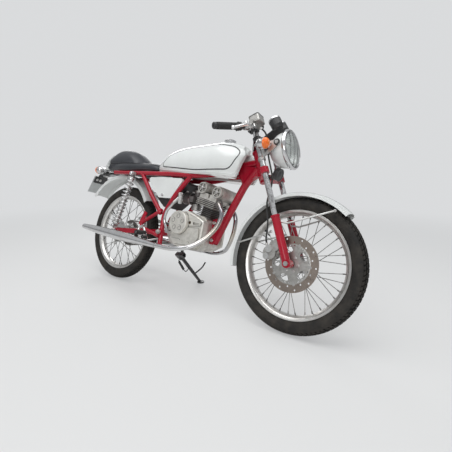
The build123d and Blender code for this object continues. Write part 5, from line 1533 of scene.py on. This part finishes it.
# Rear shocks
# Dampers in satin alloy with chromed springs and chromed covers at both ends. Each hangs on a pin at
# either eye, held by a domed nut.
shock_bottom = Vector((48, 0, 330))
shock_top = Vector((135, 0, 656))
shock_y = 118
shock_run = (shock_top - shock_bottom).normalized()
shock_length = (shock_top - shock_bottom).length
finish_nodes(bright_chrome, "shock_springs", "shock_top_pins")
finish_nodes(satin_alloy, "shock_dampers")
shock_trim = []
shock_covers = []
for side in (-1, 1):
    offset = Vector((0, side * shock_y, 0))
    for spot, reach in ((shock_bottom, 15), (shock_top, 16)):
        cap_start = spot + Vector((0, side * (shock_y + reach), 0))
        cap = [(0.1, 0), (11, 0), (11, 0.3), (9, 0.72), (5, 0.95), (0.1, 1.0)]
        shock_trim.append(sleeve(cap_start, cap_start + Vector((0, side * 8, 0)), cap, 24))
    top = shock_bottom + shock_run * (shock_length - 40) + offset
    cover = [(7, 0.0), (23.6, 0.0), (24.4, 0.06), (24.4, 0.5), (22, 0.8), (16, 0.98), (7, 1.0)]
    shock_covers.append(sleeve(top - shock_run * 2, top + shock_run * 24, cover, 40))
    seat = shock_bottom + shock_run * 20 + offset
    ring = [(15.2, 0.0), (23, 0.0), (24.6, 0.2), (24.6, 0.8), (23, 1.0), (15.2, 1.0)]
    shock_covers.append(sleeve(seat - shock_run * 3, seat + shock_run * 6, ring, 40))
add_piece("shock_nuts", "frame", joined(shock_trim), bright_chrome)
add_piece("shock_covers", "frame", joined(shock_covers), bright_chrome)

# Engine
# Cast cases with a polished clutch cover, a dark finned barrel and an alloy head with two starred cam covers,
# closed by cap screws; a carburettor behind the head, held in its rubbers by band clamps.
case_right_y = -112
case_left_y = 66
barrel_frame = Matrix.Translation((688, 0, 448)) @ Matrix.Rotation(math.radians(12), 4, "Y")
cam_half_spacing = 50
cam_height = 145
cam_face_y = -86
port_spot = Vector((64, 57.6, 93))
port_start = Vector((36, 36, 93))


def engine_metal(name, colour, second, roughness, grain, metallic):
    """A blasted or painted casting: the duller its skin, the less it mirrors."""
    return finish_of(name, colour, second, (42, 0.75), roughness, grain, metallic=metallic)


cast_alloy = engine_metal(
    "cast_alloy", (0.66, 0.64, 0.60, 1), (0.36, 0.34, 0.31, 1), (0.40, 0.56), (1100, 0.10), 0.7
)
cover_alloy = engine_metal(
    "cover_alloy", (0.76, 0.74, 0.69, 1), (0.52, 0.50, 0.45, 1), (0.36, 0.5), (1300, 0.04), 0.55
)
dark_alloy = engine_metal(
    "dark_alloy", (0.21, 0.195, 0.19, 1), (0.09, 0.083, 0.08, 1), (0.4, 0.56), (900, 0.12), 0.75
)
# Painted shade and some dirt darken the narrow gaps of the engine's castings, such as those between the fins
paint_crevice_shade_and_dirt(cast_alloy, 9, 0.06)
paint_crevice_shade_and_dirt(cover_alloy, 7, 0.12)
paint_crevice_shade_and_dirt(dark_alloy, 8, 0.08)
finish_nodes(cast_alloy, "crankcase", "cylinder_head")
finish_nodes(cover_alloy, "clutch_cover", "generator_cover")
finish_nodes(dark_alloy, "cylinder_barrel", "carburettor")


def cap_screw(spot, direction, radius=4.2, height=4.0):
    """A cap screw's round head with its hexagon socket."""
    spot, direction = Vector(spot), Vector(direction).normalized()
    profile = [
        (0.1, 0.45), (radius * 0.52, 0.45), (radius * 0.55, 1.0), (radius * 0.86, 1.0), (radius, 0.82),
        (radius, 0.0), (0.1, 0.0),
    ]
    return sleeve(spot - direction * 0.5, spot + direction * height, profile, 18)


cover_screws = (
    (530, 440), (528, 330), (568, 296), (668, 294), (724, 330), (728, 416), (682, 438), (622, 458),
    (560, 452),
)
case_screws = (
    (500, 434), (486, 330), (510, 300), (600, 286), (690, 290), (716, 300), (712, 440), (600, 456),
)
screws = [cap_screw((x, case_right_y, z), (0, -1, 0)) for x, z in cover_screws]
screws += [cap_screw((x, case_left_y, z), (0, 1, 0)) for x, z in case_screws]
cam_boss = [(0.1, 0), (8, 0), (8, 0.5), (5.5, 0.9), (0.1, 1.0)]
for cam_x in (-cam_half_spacing, cam_half_spacing):
    for step in range(5):
        turn = math.radians(72 * step + 54)
        spot = Vector((cam_x + 26 * math.cos(turn), cam_face_y, cam_height + 26 * math.sin(turn)))
        screws.append(cap_screw(barrel_frame @ spot, (0, -1, 0), 2.6, 2.6))
    hub = barrel_frame @ Vector((cam_x, cam_face_y - 1, cam_height))
    screws.append(sleeve(hub, hub + Vector((0, -6, 0)), cam_boss, 28))
for x in (-30, 30):
    for y in (-30, 30):
        foot = barrel_frame @ Vector((x, y, 128))
        nut = [(0.1, 0), (8, 0), (8, 0.5), (6, 0.85), (0.1, 1.0)]
        screws.append(sleeve(foot, foot + (barrel_frame.to_3x3() @ Vector((0, 0, 1))) * 12, nut, 6))
add_piece("engine_screws", "frame", joined(screws), stainless)
# Finned collars hold the headers in their ports, and screwed bands the carburettor in its rubbers
collar_profile = [(12.2, 0.0), (19, 0.0)]
for rib in range(4):
    share = rib / 4
    collar_profile += [(21.5, share + 0.02), (21.5, share + 0.12), (18, share + 0.14), (18, share + 0.23)]
collar_profile += [(19, 1.0), (12.2, 1.0)]
collars = []
for side in (-1, 1):
    mouth = barrel_frame @ Vector((port_spot.x, side * port_spot.y, port_spot.z))
    root = barrel_frame @ Vector((port_start.x, side * port_start.y, port_start.z))
    out = (mouth - root).normalized()
    collars.append(sleeve(mouth - out * 14, mouth + out * 3, collar_profile, 48))
add_piece("header_collars", "frame", joined(collars), dark_alloy)


def band_clamp(start, end, radius):
    """A steel band round a rubber, pinched by one screw."""
    band = sleeve(start, end, [(radius, 0), (radius + 1.2, 0.05), (radius + 1.2, 0.95), (radius, 1.0)], 48)
    middle = (Vector(start) + Vector(end)) / 2
    lug = moved(rounded_box((9, 14, 9), 2), Matrix.Translation(middle + Vector((0, -2, radius + 3))))
    screw = cap_screw(middle + Vector((0, -9, radius + 3)), (0, -1, 0), 3, 4)
    return joined([band, lug, screw])


bands = [
    band_clamp((612, 0, 546), (603, 0, 547), 25.4),
    band_clamp((544, 0, 548.2), (535, 0, 548.8), 33.4),
    band_clamp((497, 0, 551.4), (488, 0, 552), 33.6),
]
add_piece("carburettor_bands", "frame", joined(bands), stainless)
float_bowl = [
    (20, 0), (27, 0.02), (27, 0.2), (26.4, 0.24), (26.4, 0.8), (28, 0.84), (28, 1.0), (20, 1.0),
]
bowl_ring = sleeve((576, 0, 487), (576, 0, 517), float_bowl, 40)
bowl_screws = [cap_screw((576 + 22 * sx, 22 * sy, 516), (0, 0, 1), 3, 4) for sx in (-1, 1) for sy in (-1, 1)]
slide_lid = [(12, 0), (22, 0), (22.6, 0.1), (22.6, 0.7), (20, 1.0), (0.1, 1.0), (0.1, 0.5)]
slide_cap = sleeve((576, 0, 584), (576, 0, 598), slide_lid, 32)
add_piece("carburettor_fittings", "frame", joined([bowl_ring, slide_cap, *bowl_screws]), cast_grey)
# Thin dark arcs round the clutch lid's five cast lobes are painted shadow, standing in for the shadow of the
# groove round each lobe
clutch_centre = (587, 404)
lobe_shadow_arcs = []
for index in range(5):
    turn = math.radians(90 + 72 * index)
    lobe = (clutch_centre[0] + 33 * math.cos(turn), clutch_centre[1] + 33 * math.sin(turn))
    arc = []
    for step in range(15):
        sweep = math.radians(50 + 15 * step)
        arc.append((lobe[0] - 12.4 * math.cos(sweep), -140.3, lobe[1] + 12.4 * math.sin(sweep)))
    lobe_shadow_arcs.append(tube_along(arc, 1.1, 8, 2))
add_piece("clutch_lid_grooves", "frame", joined(lobe_shadow_arcs), dark_alloy)
oil_glass = finish_of(
    "oil_glass", (0.05, 0.028, 0.012, 1), (0.02, 0.012, 0.006, 1), (80, 0.5), (0.05, 0.12), (600, 0.01)
)
window_dome = [(0.1, 0), (8.8, 0), (8.8, 0.5), (5, 0.9), (0.1, 1.0)]
window = sleeve((652, -112.4, 410), (652, -115.5, 410), window_dome, 32)
add_piece("oil_window", "frame", window, oil_glass)

# Exhausts
# Chromed headers, a little straw from heat near the ports, that run into long megaphones with turned-in
# ends; each is held by a finned collar at its port and a hanger at the rear.


def exhaust_finish():
    """Chrome that heat has coloured close to the head."""
    material = metal(
        "exhaust_chrome",
        (0.66, 0.66, 0.67, 1),
        (0.46, 0.44, 0.42, 1),
        patches=(30, 0.5),
        roughness=(0.07, 0.18),
    )
    tree = material.node_tree
    shader = tree.nodes["Principled BSDF"]
    effect = next(node for node in tree.nodes if node.type == "GROUP")
    values = {"Centre": parked @ Vector((806, 0, 478)), "Turn": lean_turn}
    place = add_node(tree, "ShaderNodeGroup", values, node_tree=radial_place)
    heat = add_node(tree, "ShaderNodeValToRGB", {0: place.outputs["Radius"]})
    ramp = heat.color_ramp
    ramp.elements[0].position = 0.02
    ramp.elements[0].color = (0.58, 0.56, 0.60, 1)
    ramp.elements[1].position = 0.20
    ramp.elements[1].color = (1, 1, 1, 1)
    straw = ramp.elements.new(0.09)
    straw.color = (0.90, 0.82, 0.70, 1)
    tinted = add_node(
        tree,
        "ShaderNodeMix",
        {0: 1.0, 6: effect.outputs["Colour"], 7: heat.outputs[0]},
        data_type="RGBA",
        blend_type="MULTIPLY",
    )
    tree.links.new(tinted.outputs[2], shader.inputs["Base Color"])
    return material


finish_nodes(exhaust_finish(), "exhausts")

# Footrests, kick lever and pedals
# Alloy pegs and pedals with ribbed rubbers, bolted to the frame's hangers, and a chromed kick lever whose
# upper end carries ribbed alloy sleeves.
finish_nodes(polished_alloy, "footrests")
finish_nodes(bright_chrome, "kick_lever")


def ribbed_rubber(start, end, radius, ribs):
    """A round sleeve with ribs across it."""
    profile = [(radius * 0.4, 0.0), (radius, 0.0)]
    for rib in range(ribs):
        share = (rib + 0.15) / ribs
        profile += [(radius, share), (radius * 0.86, share + 0.2 / ribs)]
        profile += [(radius * 0.86, share + 0.45 / ribs), (radius, share + 0.65 / ribs)]
    return sleeve(start, end, profile + [(radius, 1.0), (radius * 0.4, 1.0)], 28)


rubbers = []
for side in (-1, 1):
    rubbers.append(ribbed_rubber((330, side * 116, 318), (330, side * 180, 316), 13, 9))
    rubbers.append(ribbed_rubber((374, side * 138, 296), (374, side * 168, 296), 9.5, 5))
add_piece("foot_rubbers", "frame", joined(rubbers), soft_rubber)
kick_sleeves = [ribbed_rubber((611, -174, 547), (593, -150, 501), 10.5, 9)]
kick_sleeves.append(ribbed_rubber((560, -157.6, 500.6), (606, -161.6, 535.6), 8.6, 12))
add_piece("kick_lever_sleeves", "frame", joined(kick_sleeves), satin_alloy)

# Airbox
# A moulded box in black plastic between the side covers, from which the carburettor draws its air.
finish_nodes(black_plastic, "airbox")

# Fuel tank
# A pressed tank in pearl white with a thin black line round each plain flank, a rolled lower flange and a
# chromed screw cap on its top.
finish_nodes(pearl_white, "fuel_tank")
finish_nodes(bright_chrome, "fuel_cap")
line_black = finish_of(
    "line_black", (0.012, 0.012, 0.013, 1), (0.04, 0.04, 0.04, 1), (60, 0.4), (0.25, 0.35), (900, 0.01)
)


def upright_tree(name):
    """A search tree of a CAD node's surface in the upright frame."""
    return BVHTree.FromPolygons(
        [parked.inverted() @ vertex.co for vertex in frame["nodes"][name].data.vertices],
        [tuple(face.vertices) for face in frame["nodes"][name].data.polygons],
    )


def flank_point(tree, x, z, side, lift):
    """The point of a surface straight in from one side, lifted off it."""
    spot, normal, _, _ = tree.ray_cast(Vector((x, side * 400, z)), Vector((0, -side, 0)))
    if spot is None:
        return None
    if normal.y * side < 0:
        normal = -normal
    return spot + normal * lift


def flank_band(tree, route, side, width, lift):
    """A thin raised band that follows a closed route of (x, z) points on a flank."""
    shape = bmesh.new()
    rows = []
    count = len(route)
    for index, (x, z) in enumerate(route):
        before = Vector(route[index - 1])
        after = Vector(route[(index + 1) % count])
        along = (after - before).normalized()
        row = []
        for share, rise in ((-0.5, -0.4), (-0.46, lift), (0.46, lift), (0.5, -0.4)):
            spot = flank_point(tree, x - along.y * width * share, z + along.x * width * share, side, rise)
            row.append(shape.verts.new(spot))
        rows.append(row)
    for row, following in zip(rows, rows[1:] + rows[:1]):
        for step in range(3):
            shape.faces.new((row[step], row[step + 1], following[step + 1], following[step]))
    bmesh.ops.recalc_face_normals(shape, faces=shape.faces)
    return to_mesh(shape)


line_spacing = 9


def rounded_route(corners, radius):
    """Evenly spaced points round a closed outline of (x, z) corners with rounded corners."""
    points = []
    for index, corner in enumerate(corners):
        here = Vector(corner)
        back = Vector(corners[index - 1]) - here
        ahead = Vector(corners[(index + 1) % len(corners)]) - here
        reach = min(radius, back.length * 0.45, ahead.length * 0.45)
        start = here + back.normalized() * reach
        end = here + ahead.normalized() * reach
        for step in range(7):
            share = step / 6
            points.append(start * (1 - share) ** 2 + here * 2 * share * (1 - share) + end * share**2)
        following = Vector(corners[(index + 1) % len(corners)])
        next_ahead = here - following
        beyond = Vector(corners[(index + 2) % len(corners)]) - following
        next_reach = min(radius, next_ahead.length * 0.45, beyond.length * 0.45)
        finish = following + next_ahead.normalized() * next_reach
        gaps = max(1, int((finish - end).length / line_spacing))
        points += [end.lerp(finish, step / gaps) for step in range(1, gaps)]
    return [tuple(point) for point in points]


tank_tree = upright_tree("fuel_tank")
tank_line = ((332, 712), (600, 690), (836, 690), (880, 778), (838, 808), (740, 826), (520, 818), (372, 776))
lines = [flank_band(tank_tree, rounded_route(tank_line, 34), side, 5.6, 0.5) for side in (-1, 1)]
for line in lines[1:]:
    line.flip_normals()
add_piece("tank_lines", "frame", joined(lines), line_black, crease_deg=60)
flange_route = [(x, 664.5 + (884 - x) * 0.043) for x in range(330, 862, 14)]
flange_front = [(861 + step * 6.2, 664 + step * 18) for step in range(0, 8)]
flanges = []
for side in (-1, 1):
    spots = [flank_point(tank_tree, x, z + 5, side, 0.2) for x, z in flange_route + flange_front]
    flanges.append(tube_along([spot for spot in spots if spot], 2.6, 8, 3))
add_piece("tank_flanges", "frame", joined(flanges), pearl_white)
cap_spot = facing((733, 0, 868), (-0.09, 0, 1))
cap_rim = [
    (27.5, -4), (29.5, -3), (30, 0), (29.5, 4), (27, 6), (24.5, 6.6), (23, 8), (10, 9), (0.1, 9.2),
    (0.1, 0), (20, -4),
]
grip_notch = rod_between((29.6, 0, -3), (29.6, 0, 4.5), 1.5, 8)
notches = ringed(grip_notch, 30, bright_chrome)
cap_hinge = joined([rounded_box((16, 20, 7), 3), rod_between((0, -11, 0), (0, 11, 0), 3.6, 16)])
cap_parts = [lathe(cap_rim, 72), notches, moved(cap_hinge, Matrix.Translation((-31, 0, 1)))]
add_piece("tank_cap_trim", "frame", moved(joined(cap_parts), cap_spot), bright_chrome)

# Side covers
# Pressed plain covers in pearl white between the side tubes and the rear stays, each held by a chromed
# knob screw.
finish_nodes(pearl_white, "side_covers")
knob = [(0.1, 0), (8, 0), (8.5, 0.5), (7, 1), (2, 1), (0.1, 0.7)]
cover_knobs = [sleeve((392, side * 92, 546), (392, side * 97, 546), knob, 24) for side in (-1, 1)]
add_piece("side_cover_screws", "frame", joined(cover_knobs), bright_chrome)

# Seat and cowl
# A humped seat in black vinyl over foam: a top panel sewn to a side panel with piping along the seam, and
# a pearl cowl that closes its back. The foam swells between the seams, where the thread holds it down.
foam_voxel = 0.005
foam_start_gap = 0.003
foam_swell = 0.0065
foam_frames = 20
# Each row gives x and the height of the seam that joins the top panel to the side panel
seam_heights = ((-176, 731), (100, 731), (230, 727), (285, 718), (303, 705))
hump_foot_front = 108
hump_foot_back = 40
hump_foot_half_width = 88
piping_radius = 2.0
stitch_pitch = 6.0
black_vinyl = finish_of(
    "black_vinyl",
    (0.026, 0.028, 0.034, 1),
    (0.046, 0.049, 0.057, 1),
    patches=(24, 0.5),
    roughness=(0.28, 0.42),
    grain=(500, 0.05),
    sockets={"Specular IOR Level": 0.55},
)


def leather_grain_group():
    """The pebbled height of embossed vinyl: rounded cells of uneven size."""
    group, given, out = shader_group(
        "leather_grain", [("Scale", "NodeSocketFloat", 600.0)], [("Height", "NodeSocketFloat")]
    )
    place = add_node(group, "ShaderNodeTexCoord").outputs["Object"]
    cells = add_node(
        group,
        "ShaderNodeTexVoronoi",
        {"Vector": place, "Scale": given.outputs["Scale"], "Randomness": 1.0, "Smoothness": 0.6},
        feature="SMOOTH_F1",
    )
    pores = add_node(group, "ShaderNodeTexNoise", {"Vector": place, "Scale": 240.0, "Detail": 4.0})
    both = add_node(
        group,
        "ShaderNodeMath",
        {0: cells.outputs["Distance"], 1: pores.outputs["Fac"]},
        operation="MULTIPLY",
    )
    group.links.new(both.outputs[0], out.inputs["Height"])
    return group


vinyl_tree = black_vinyl.node_tree
grain = add_node(vinyl_tree, "ShaderNodeGroup", node_tree=leather_grain_group())
grain_bump = add_node(
    vinyl_tree, "ShaderNodeBump", {"Height": grain.outputs["Height"], "Distance": 0.0003, "Strength": 0.6}
)
vinyl_tree.links.new(grain_bump.outputs[0], vinyl_tree.nodes["Principled BSDF"].inputs["Normal"])


def seam_height(x):
    """The height of the seat's seam at a distance x ahead of the rear axle."""
    for (x0, z0), (x1, z1) in zip(seam_heights, seam_heights[1:]):
        if x <= x1:
            return z0 + (z1 - z0) * max(0.0, (x - x0) / (x1 - x0))
    return seam_heights[-1][1]


def grown_mesh(mesh, modifiers):
    """The mesh after a list of (modifier type, settings)."""
    holder = in_scene("grown", mesh)
    for kind, settings in modifiers:
        modifier = holder.modifiers.new(kind, kind)
        for key, value in settings.items():
            setattr(modifier, key, value)
    return taken_mesh(holder)


def held_down(spot):
    """Whether thread or the seat's pan holds the foam at an upright point."""
    on_seam = abs(spot.y) > 50 and abs(spot.z - seam_height(spot.x)) < 3.5
    foot = hump_foot_front - (hump_foot_front - hump_foot_back) * (abs(spot.y) / hump_foot_half_width) ** 2.2
    on_foot = abs(spot.x - foot) < 6 and 738 < spot.z < 772
    return on_seam or on_foot or spot.z < 694 or spot.x > 292


def swollen(mesh):
    """The foam after pressure from inside has filled it out, its swelling capped."""
    start = [vertex.co.copy() for vertex in mesh.vertices]
    upright = [parked.inverted() @ spot for spot in start]
    foam = in_scene("foam", mesh)
    held = foam.vertex_groups.new(name="held")
    held.add([index for index, spot in enumerate(upright) if held_down(spot)], 1.0, "REPLACE")
    cloth = foam.modifiers.new("cloth", "CLOTH")
    cloth.settings.quality = 5
    cloth.settings.mass = 0.25
    cloth.settings.tension_stiffness = 18
    cloth.settings.compression_stiffness = 18
    cloth.settings.shear_stiffness = 8
    cloth.settings.bending_stiffness = 0.6
    cloth.settings.vertex_group_mass = "held"
    cloth.settings.use_pressure = True
    cloth.settings.uniform_pressure_force = 4.0
    cloth.settings.effector_weights.gravity = 0.0
    cloth.collision_settings.use_collision = False
    for number in range(1, foam_frames + 1):
        scene.frame_set(number)
    settled = taken_mesh(foam)
    scene.frame_set(1)
    for vertex, before in zip(settled.vertices, start):
        move = vertex.co - before
        if move.length > foam_swell:
            vertex.co = before + move * (foam_swell / move.length)
    return settled


def seat_mesh():
    """The upholstered seat, upright in millimetres: swollen foam under a panel that the seam pulls in."""
    shape = bmesh.new()
    shape.from_mesh(frame["nodes"]["seat"].data)
    bmesh.ops.remove_doubles(shape, verts=shape.verts, dist=1e-5)
    foam = grown_mesh(
        to_mesh(shape),
        [
            ("REMESH", {"mode": "VOXEL", "voxel_size": foam_voxel}),
            ("SMOOTH", {"factor": 0.5, "iterations": 10}),
        ],
    )
    normals = [vertex.normal.copy() for vertex in foam.vertices]
    for vertex, normal in zip(foam.vertices, normals):
        vertex.co -= normal * foam_start_gap
    foam = swollen(foam)
    foam = grown_mesh(
        foam, [("SMOOTH", {"factor": 0.5, "iterations": 2}), ("SUBSURF", {"levels": 1, "render_levels": 1})]
    )
    foam.transform(parked.inverted())
    for vertex in foam.vertices:
        x, y, z = vertex.co
        if abs(y) > 50:
            gap = z - seam_height(x)
            pulled = 3.6 * math.exp(-((gap / 4.0) ** 2))
            pucker = 0.35 * math.sin(x / 3.1 + math.sin(x / 17)) * math.exp(-((gap / 9) ** 2))
            vertex.co.y -= math.copysign(pulled + pucker, y)
    return foam


foam_body = seat_mesh()
seat_tree = BVHTree.FromPolygons(
    [vertex.co.copy() for vertex in foam_body.vertices], [tuple(face.vertices) for face in foam_body.polygons]
)
seat_pad = add_piece("humped_seat", "frame", foam_body, black_vinyl, ["seat"], crease_deg=80)
piping_black = finish_of(
    "piping_black", (0.008, 0.008, 0.009, 1), (0.016, 0.016, 0.017, 1), (60, 0.5), (0.6, 0.75), (1500, 0.03)
)
thread_grey = finish_of(
    "thread_grey", (0.09, 0.09, 0.095, 1), (0.05, 0.05, 0.05, 1), (90, 0.5), (0.6, 0.75), (2500, 0.05)
)
piping = []
stitches = []
stitch = rod_between((-1.7, 0, 0), (1.7, 0, 0), 0.55, 6)
for side in (-1, 1):
    stations = [-168 + 6 * step for step in range(77)]
    welt = [flank_point(seat_tree, x, seam_height(x), side, 0.2) for x in stations]
    piping.append(tube_along([spot for spot in welt if spot], piping_radius, 8, 2))
    row = [flank_point(seat_tree, x, seam_height(x) - 6.5, side, 0.2) for x in stations]
    row = [spot for spot in row if spot]
    count = int((row[-1] - row[0]).length / stitch_pitch)
    stitches.append(along_path(row, stitch.copy(), count, thread_grey, closed=False, pivot="AUTO"))
add_piece("seat_piping", "frame", joined(piping), piping_black)
add_piece("seat_stitches", "frame", joined(stitches), thread_grey)
finish_nodes(pearl_white, "seat_cowl")

# Rear fender, tail lamp, plate and rear signals
# A pearl fender carries a chromed lamp with a red lens on a black bracket, a bare grey plate below it and
# an amber signal each side.
finish_nodes(pearl_white, "rear_fender")
red_lens = finish_of(
    "red_lens",
    (0.60, 0.006, 0.010, 1),
    (0.42, 0.004, 0.006, 1),
    patches=(60, 0.5),
    roughness=(0.12, 0.25),
    grain=(500, 0.05),
    sockets={"Coat Weight": 0.6, "Subsurface Weight": 0.15, "Subsurface Scale": 0.01},
)
plate_grey = finish_of(
    "plate_grey",
    (0.52, 0.54, 0.54, 1),
    (0.40, 0.41, 0.41, 1),
    patches=(30, 0.5),
    roughness=(0.35, 0.5),
    grain=(700, 0.03),
)
finish_nodes(plate_grey, "number_plate")
tail_centre = Vector((-338, 0, 694))
tail_spot = facing(tail_centre, (-1, 0, 0))
tail_shell = [
    (0.1, -23.5), (30, -23.5), (38, -16), (38.6, -12), (38.6, 8), (37, 9.5), (35, 8), (35, 0), (0.1, 0),
]
tail_lens = [(35, 7), (36.6, 9.6), (36.2, 14)]
for step in range(1, 24):
    turn = step * math.pi / 48
    ring = 0.35 if step % 2 else 0.0
    tail_lens.append((36.2 * math.cos(turn), 14 + (9.5 + ring) * math.sin(turn)))
tail_lens += [(0.1, 23.5), (0.1, 7)]
tail_shell_mesh = moved(lathe(tail_shell, 64), tail_spot)
add_piece("tail_lamp_shell", "frame", tail_shell_mesh, bright_chrome, ["tail_lights"])
# A folded steel bracket under the lamp carries the plate board and its small white lamp
across_plate = Matrix.Rotation(math.pi / 2, 4, "X")
bracket_outline = [(-352, 662), (-200, 672), (-200, 684), (-252, 687), (-300, 702), (-340, 702)]
board_outline = [(-394, 612), (-388, 612), (-340, 668), (-352, 668)]
bracket_parts = [
    moved(slab(bracket_outline, -30, 30, 2.5), across_plate),
    moved(slab(board_outline, -34, 34, 1.2), across_plate),
    moved(rounded_box((17, 46, 15), 4), Matrix.Translation((-371, 0, 657))),
]
bracket_parts += [hex_bolt((-232, side * 29, 679), (0, side, 0), 9, 4) for side in (-1, 1)]
add_piece("tail_bracket", "frame", joined(bracket_parts), gloss_black)
plate_lamp = moved(rounded_box((8, 34, 9), 3), Matrix.Translation((-375, 0, 650.5)))
add_piece("plate_lamp", "frame", plate_lamp, lens_glass)
board_slope = Vector((-418 + 360, 0, 536 - 652)).normalized()
board_face = Vector((-board_slope.z, 0, board_slope.x))
board_top = Vector((-360, 0, 652)) + board_face * 0.3
board_corners = [(2, 0), (2, 5), (46, 5), (50, 3), (50, 0)]
board_section = []
for down, out in board_corners:
    corner = board_top + board_slope * down + board_face * out
    board_section.append((corner.x, corner.z))
plate_board = moved(slab(board_section, -54, 54, 0.8), across_plate)
add_piece("plate_board", "frame", plate_board, gloss_black)
plate_bolts = [
    hex_bolt(board_top + board_slope * 24 + board_face * 4.6 + Vector((0, across, 0)), board_face, 12, 4, 2)
    for across in (-36, -12, 36)
]
add_piece("plate_bolts", "frame", joined(plate_bolts), stainless)
add_piece("tail_lamp_lens", "frame", moved(lathe(tail_lens, 64), tail_spot), red_lens)
for side, label in ((-1, "right"), (1, "left")):
    signal_pieces(
        "rear_" + label + "_signal",
        "frame",
        tail_centre + Vector((62, side * 84, -8)),
        -1,
        tail_centre + Vector((66, side * 30, -8)),
        (),
    )

# Chain guard
# A pressed guard in polished alloy over the upper run of the chain, on the left of the swingarm.
finish_nodes(polished_alloy, "chain_guard")

# Side stand
# A stamped black steel leg with a long opening, a round foot and a tang. It swings on one bolt between the
# two cheeks of a lug on the frame, and a coil spring holds it.
stand_pivot = Vector((452, 84, 212))
stand_foot = (504, 243)
tyre_crown_radius = 35.5
foot_drop = tyre_crown_radius * (1 - math.cos(lean)) / math.cos(lean)
foot_point = Vector((*stand_foot, stand_foot[1] * math.tan(lean) - foot_drop))
leg_run = foot_point - stand_pivot
leg_length = leg_run.length
leg_direction = leg_run.normalized()
stowed_direction = Vector((-0.95, 0.28, -0.14)).normalized()
stand_axis = leg_direction.cross(stowed_direction).normalized()
# Drawn with X down the leg and Z along its bolt
stand_place = Matrix.Translation(stand_pivot) @ Matrix(
    (leg_direction, stand_axis.cross(leg_direction), stand_axis)
).transposed().to_4x4()
leg_edge = [
    (-15, -5), (-10, -13), (0, -16), (14, -15), (34, -13), (70, -13), (leg_length - 16, -8),
    (leg_length - 5, -8),
]
leg_outline = leg_edge + [(x, -y) for x, y in reversed(leg_edge)]
leg_opening = oval((leg_length * 0.50, 0), leg_length * 0.24, 5.6)
leg_plate = cut_away(slab(leg_outline, -6.2, 6.2, 1.6), slab(leg_opening, -9, 9, 0))
leg_plate = cut_away(leg_plate, rod_between((0, 0, -12), (0, 0, 12), 6, 32))
foot_place = Matrix.Translation(foot_point) @ Matrix.Rotation(lean, 4, "X")
foot_profile = [(0.1, 0.0), (20, 0.0), (22, 1.5), (22, 7), (20.5, 9), (9, 10.5), (8.5, 14), (0.1, 14)]
foot_pad = moved(lathe(foot_profile, 48), foot_place)
tang_start = stand_pivot + leg_run * 0.66
tang = tube_along([tang_start, (530, 196, 160), (534, 208, 184), (536, 214, 200)], 4.4, 12, 8)
stand_leg = joined([moved(leg_plate, stand_place), foot_pad, tang])
add_piece("stand_leg", "side_stand", stand_leg, gloss_black, ["side_stand"])
spring_turns = 17
spring_radius = 6.2
spring_top, spring_foot = Vector((14, 8, -26)), Vector((76, 14, -31))
spring_coil = []
for step in range(spring_turns * 12 + 1):
    share = step / (spring_turns * 12)
    turn = 2 * math.pi * spring_turns * share
    around = Vector((0, spring_radius * math.cos(turn), spring_radius * math.sin(turn)))
    spring_coil.append(spring_top.lerp(spring_foot, share) + around)
spring_parts = [tube_along(spring_coil, 1.6, 6, 1, order=2)]
spring_hooks = (
    [(6, 5, -13), (4, 7, -26), spring_top],
    [spring_foot, (94, 13, -32), (98, 10, -27), (92, 3, -5)],
)
spring_parts += [tube_along(hook, 2.4, 10, 8) for hook in spring_hooks]
add_piece("stand_spring", "side_stand", moved(joined(spring_parts), stand_place), gloss_black)
stand_bolt = moved(hex_bolt((0, 0, 15), (0, 0, 1), 14, 6, 1), stand_place)
add_piece("stand_bolt", "frame", stand_bolt, stainless)
cheek_outline = [
    (-30, -48), (-10, -47), (6, -30), (16, -14), (20, 0), (18, 14), (8, 27), (-18, 32), (-30, 26)
]
stand_cheeks = [slab(cheek_outline, face, face + 3.5, 1.0) for face in (-12, 8.5)]
stand_cheeks.append(slab([(-30, -48), (-26, -48), (-26, 26), (-30, 26)], -12, 12, 1.0))
add_piece("stand_lug", "frame", moved(joined(stand_cheeks), stand_place), gloss_black)
finish_nodes(gloss_black, "stand_bracket")
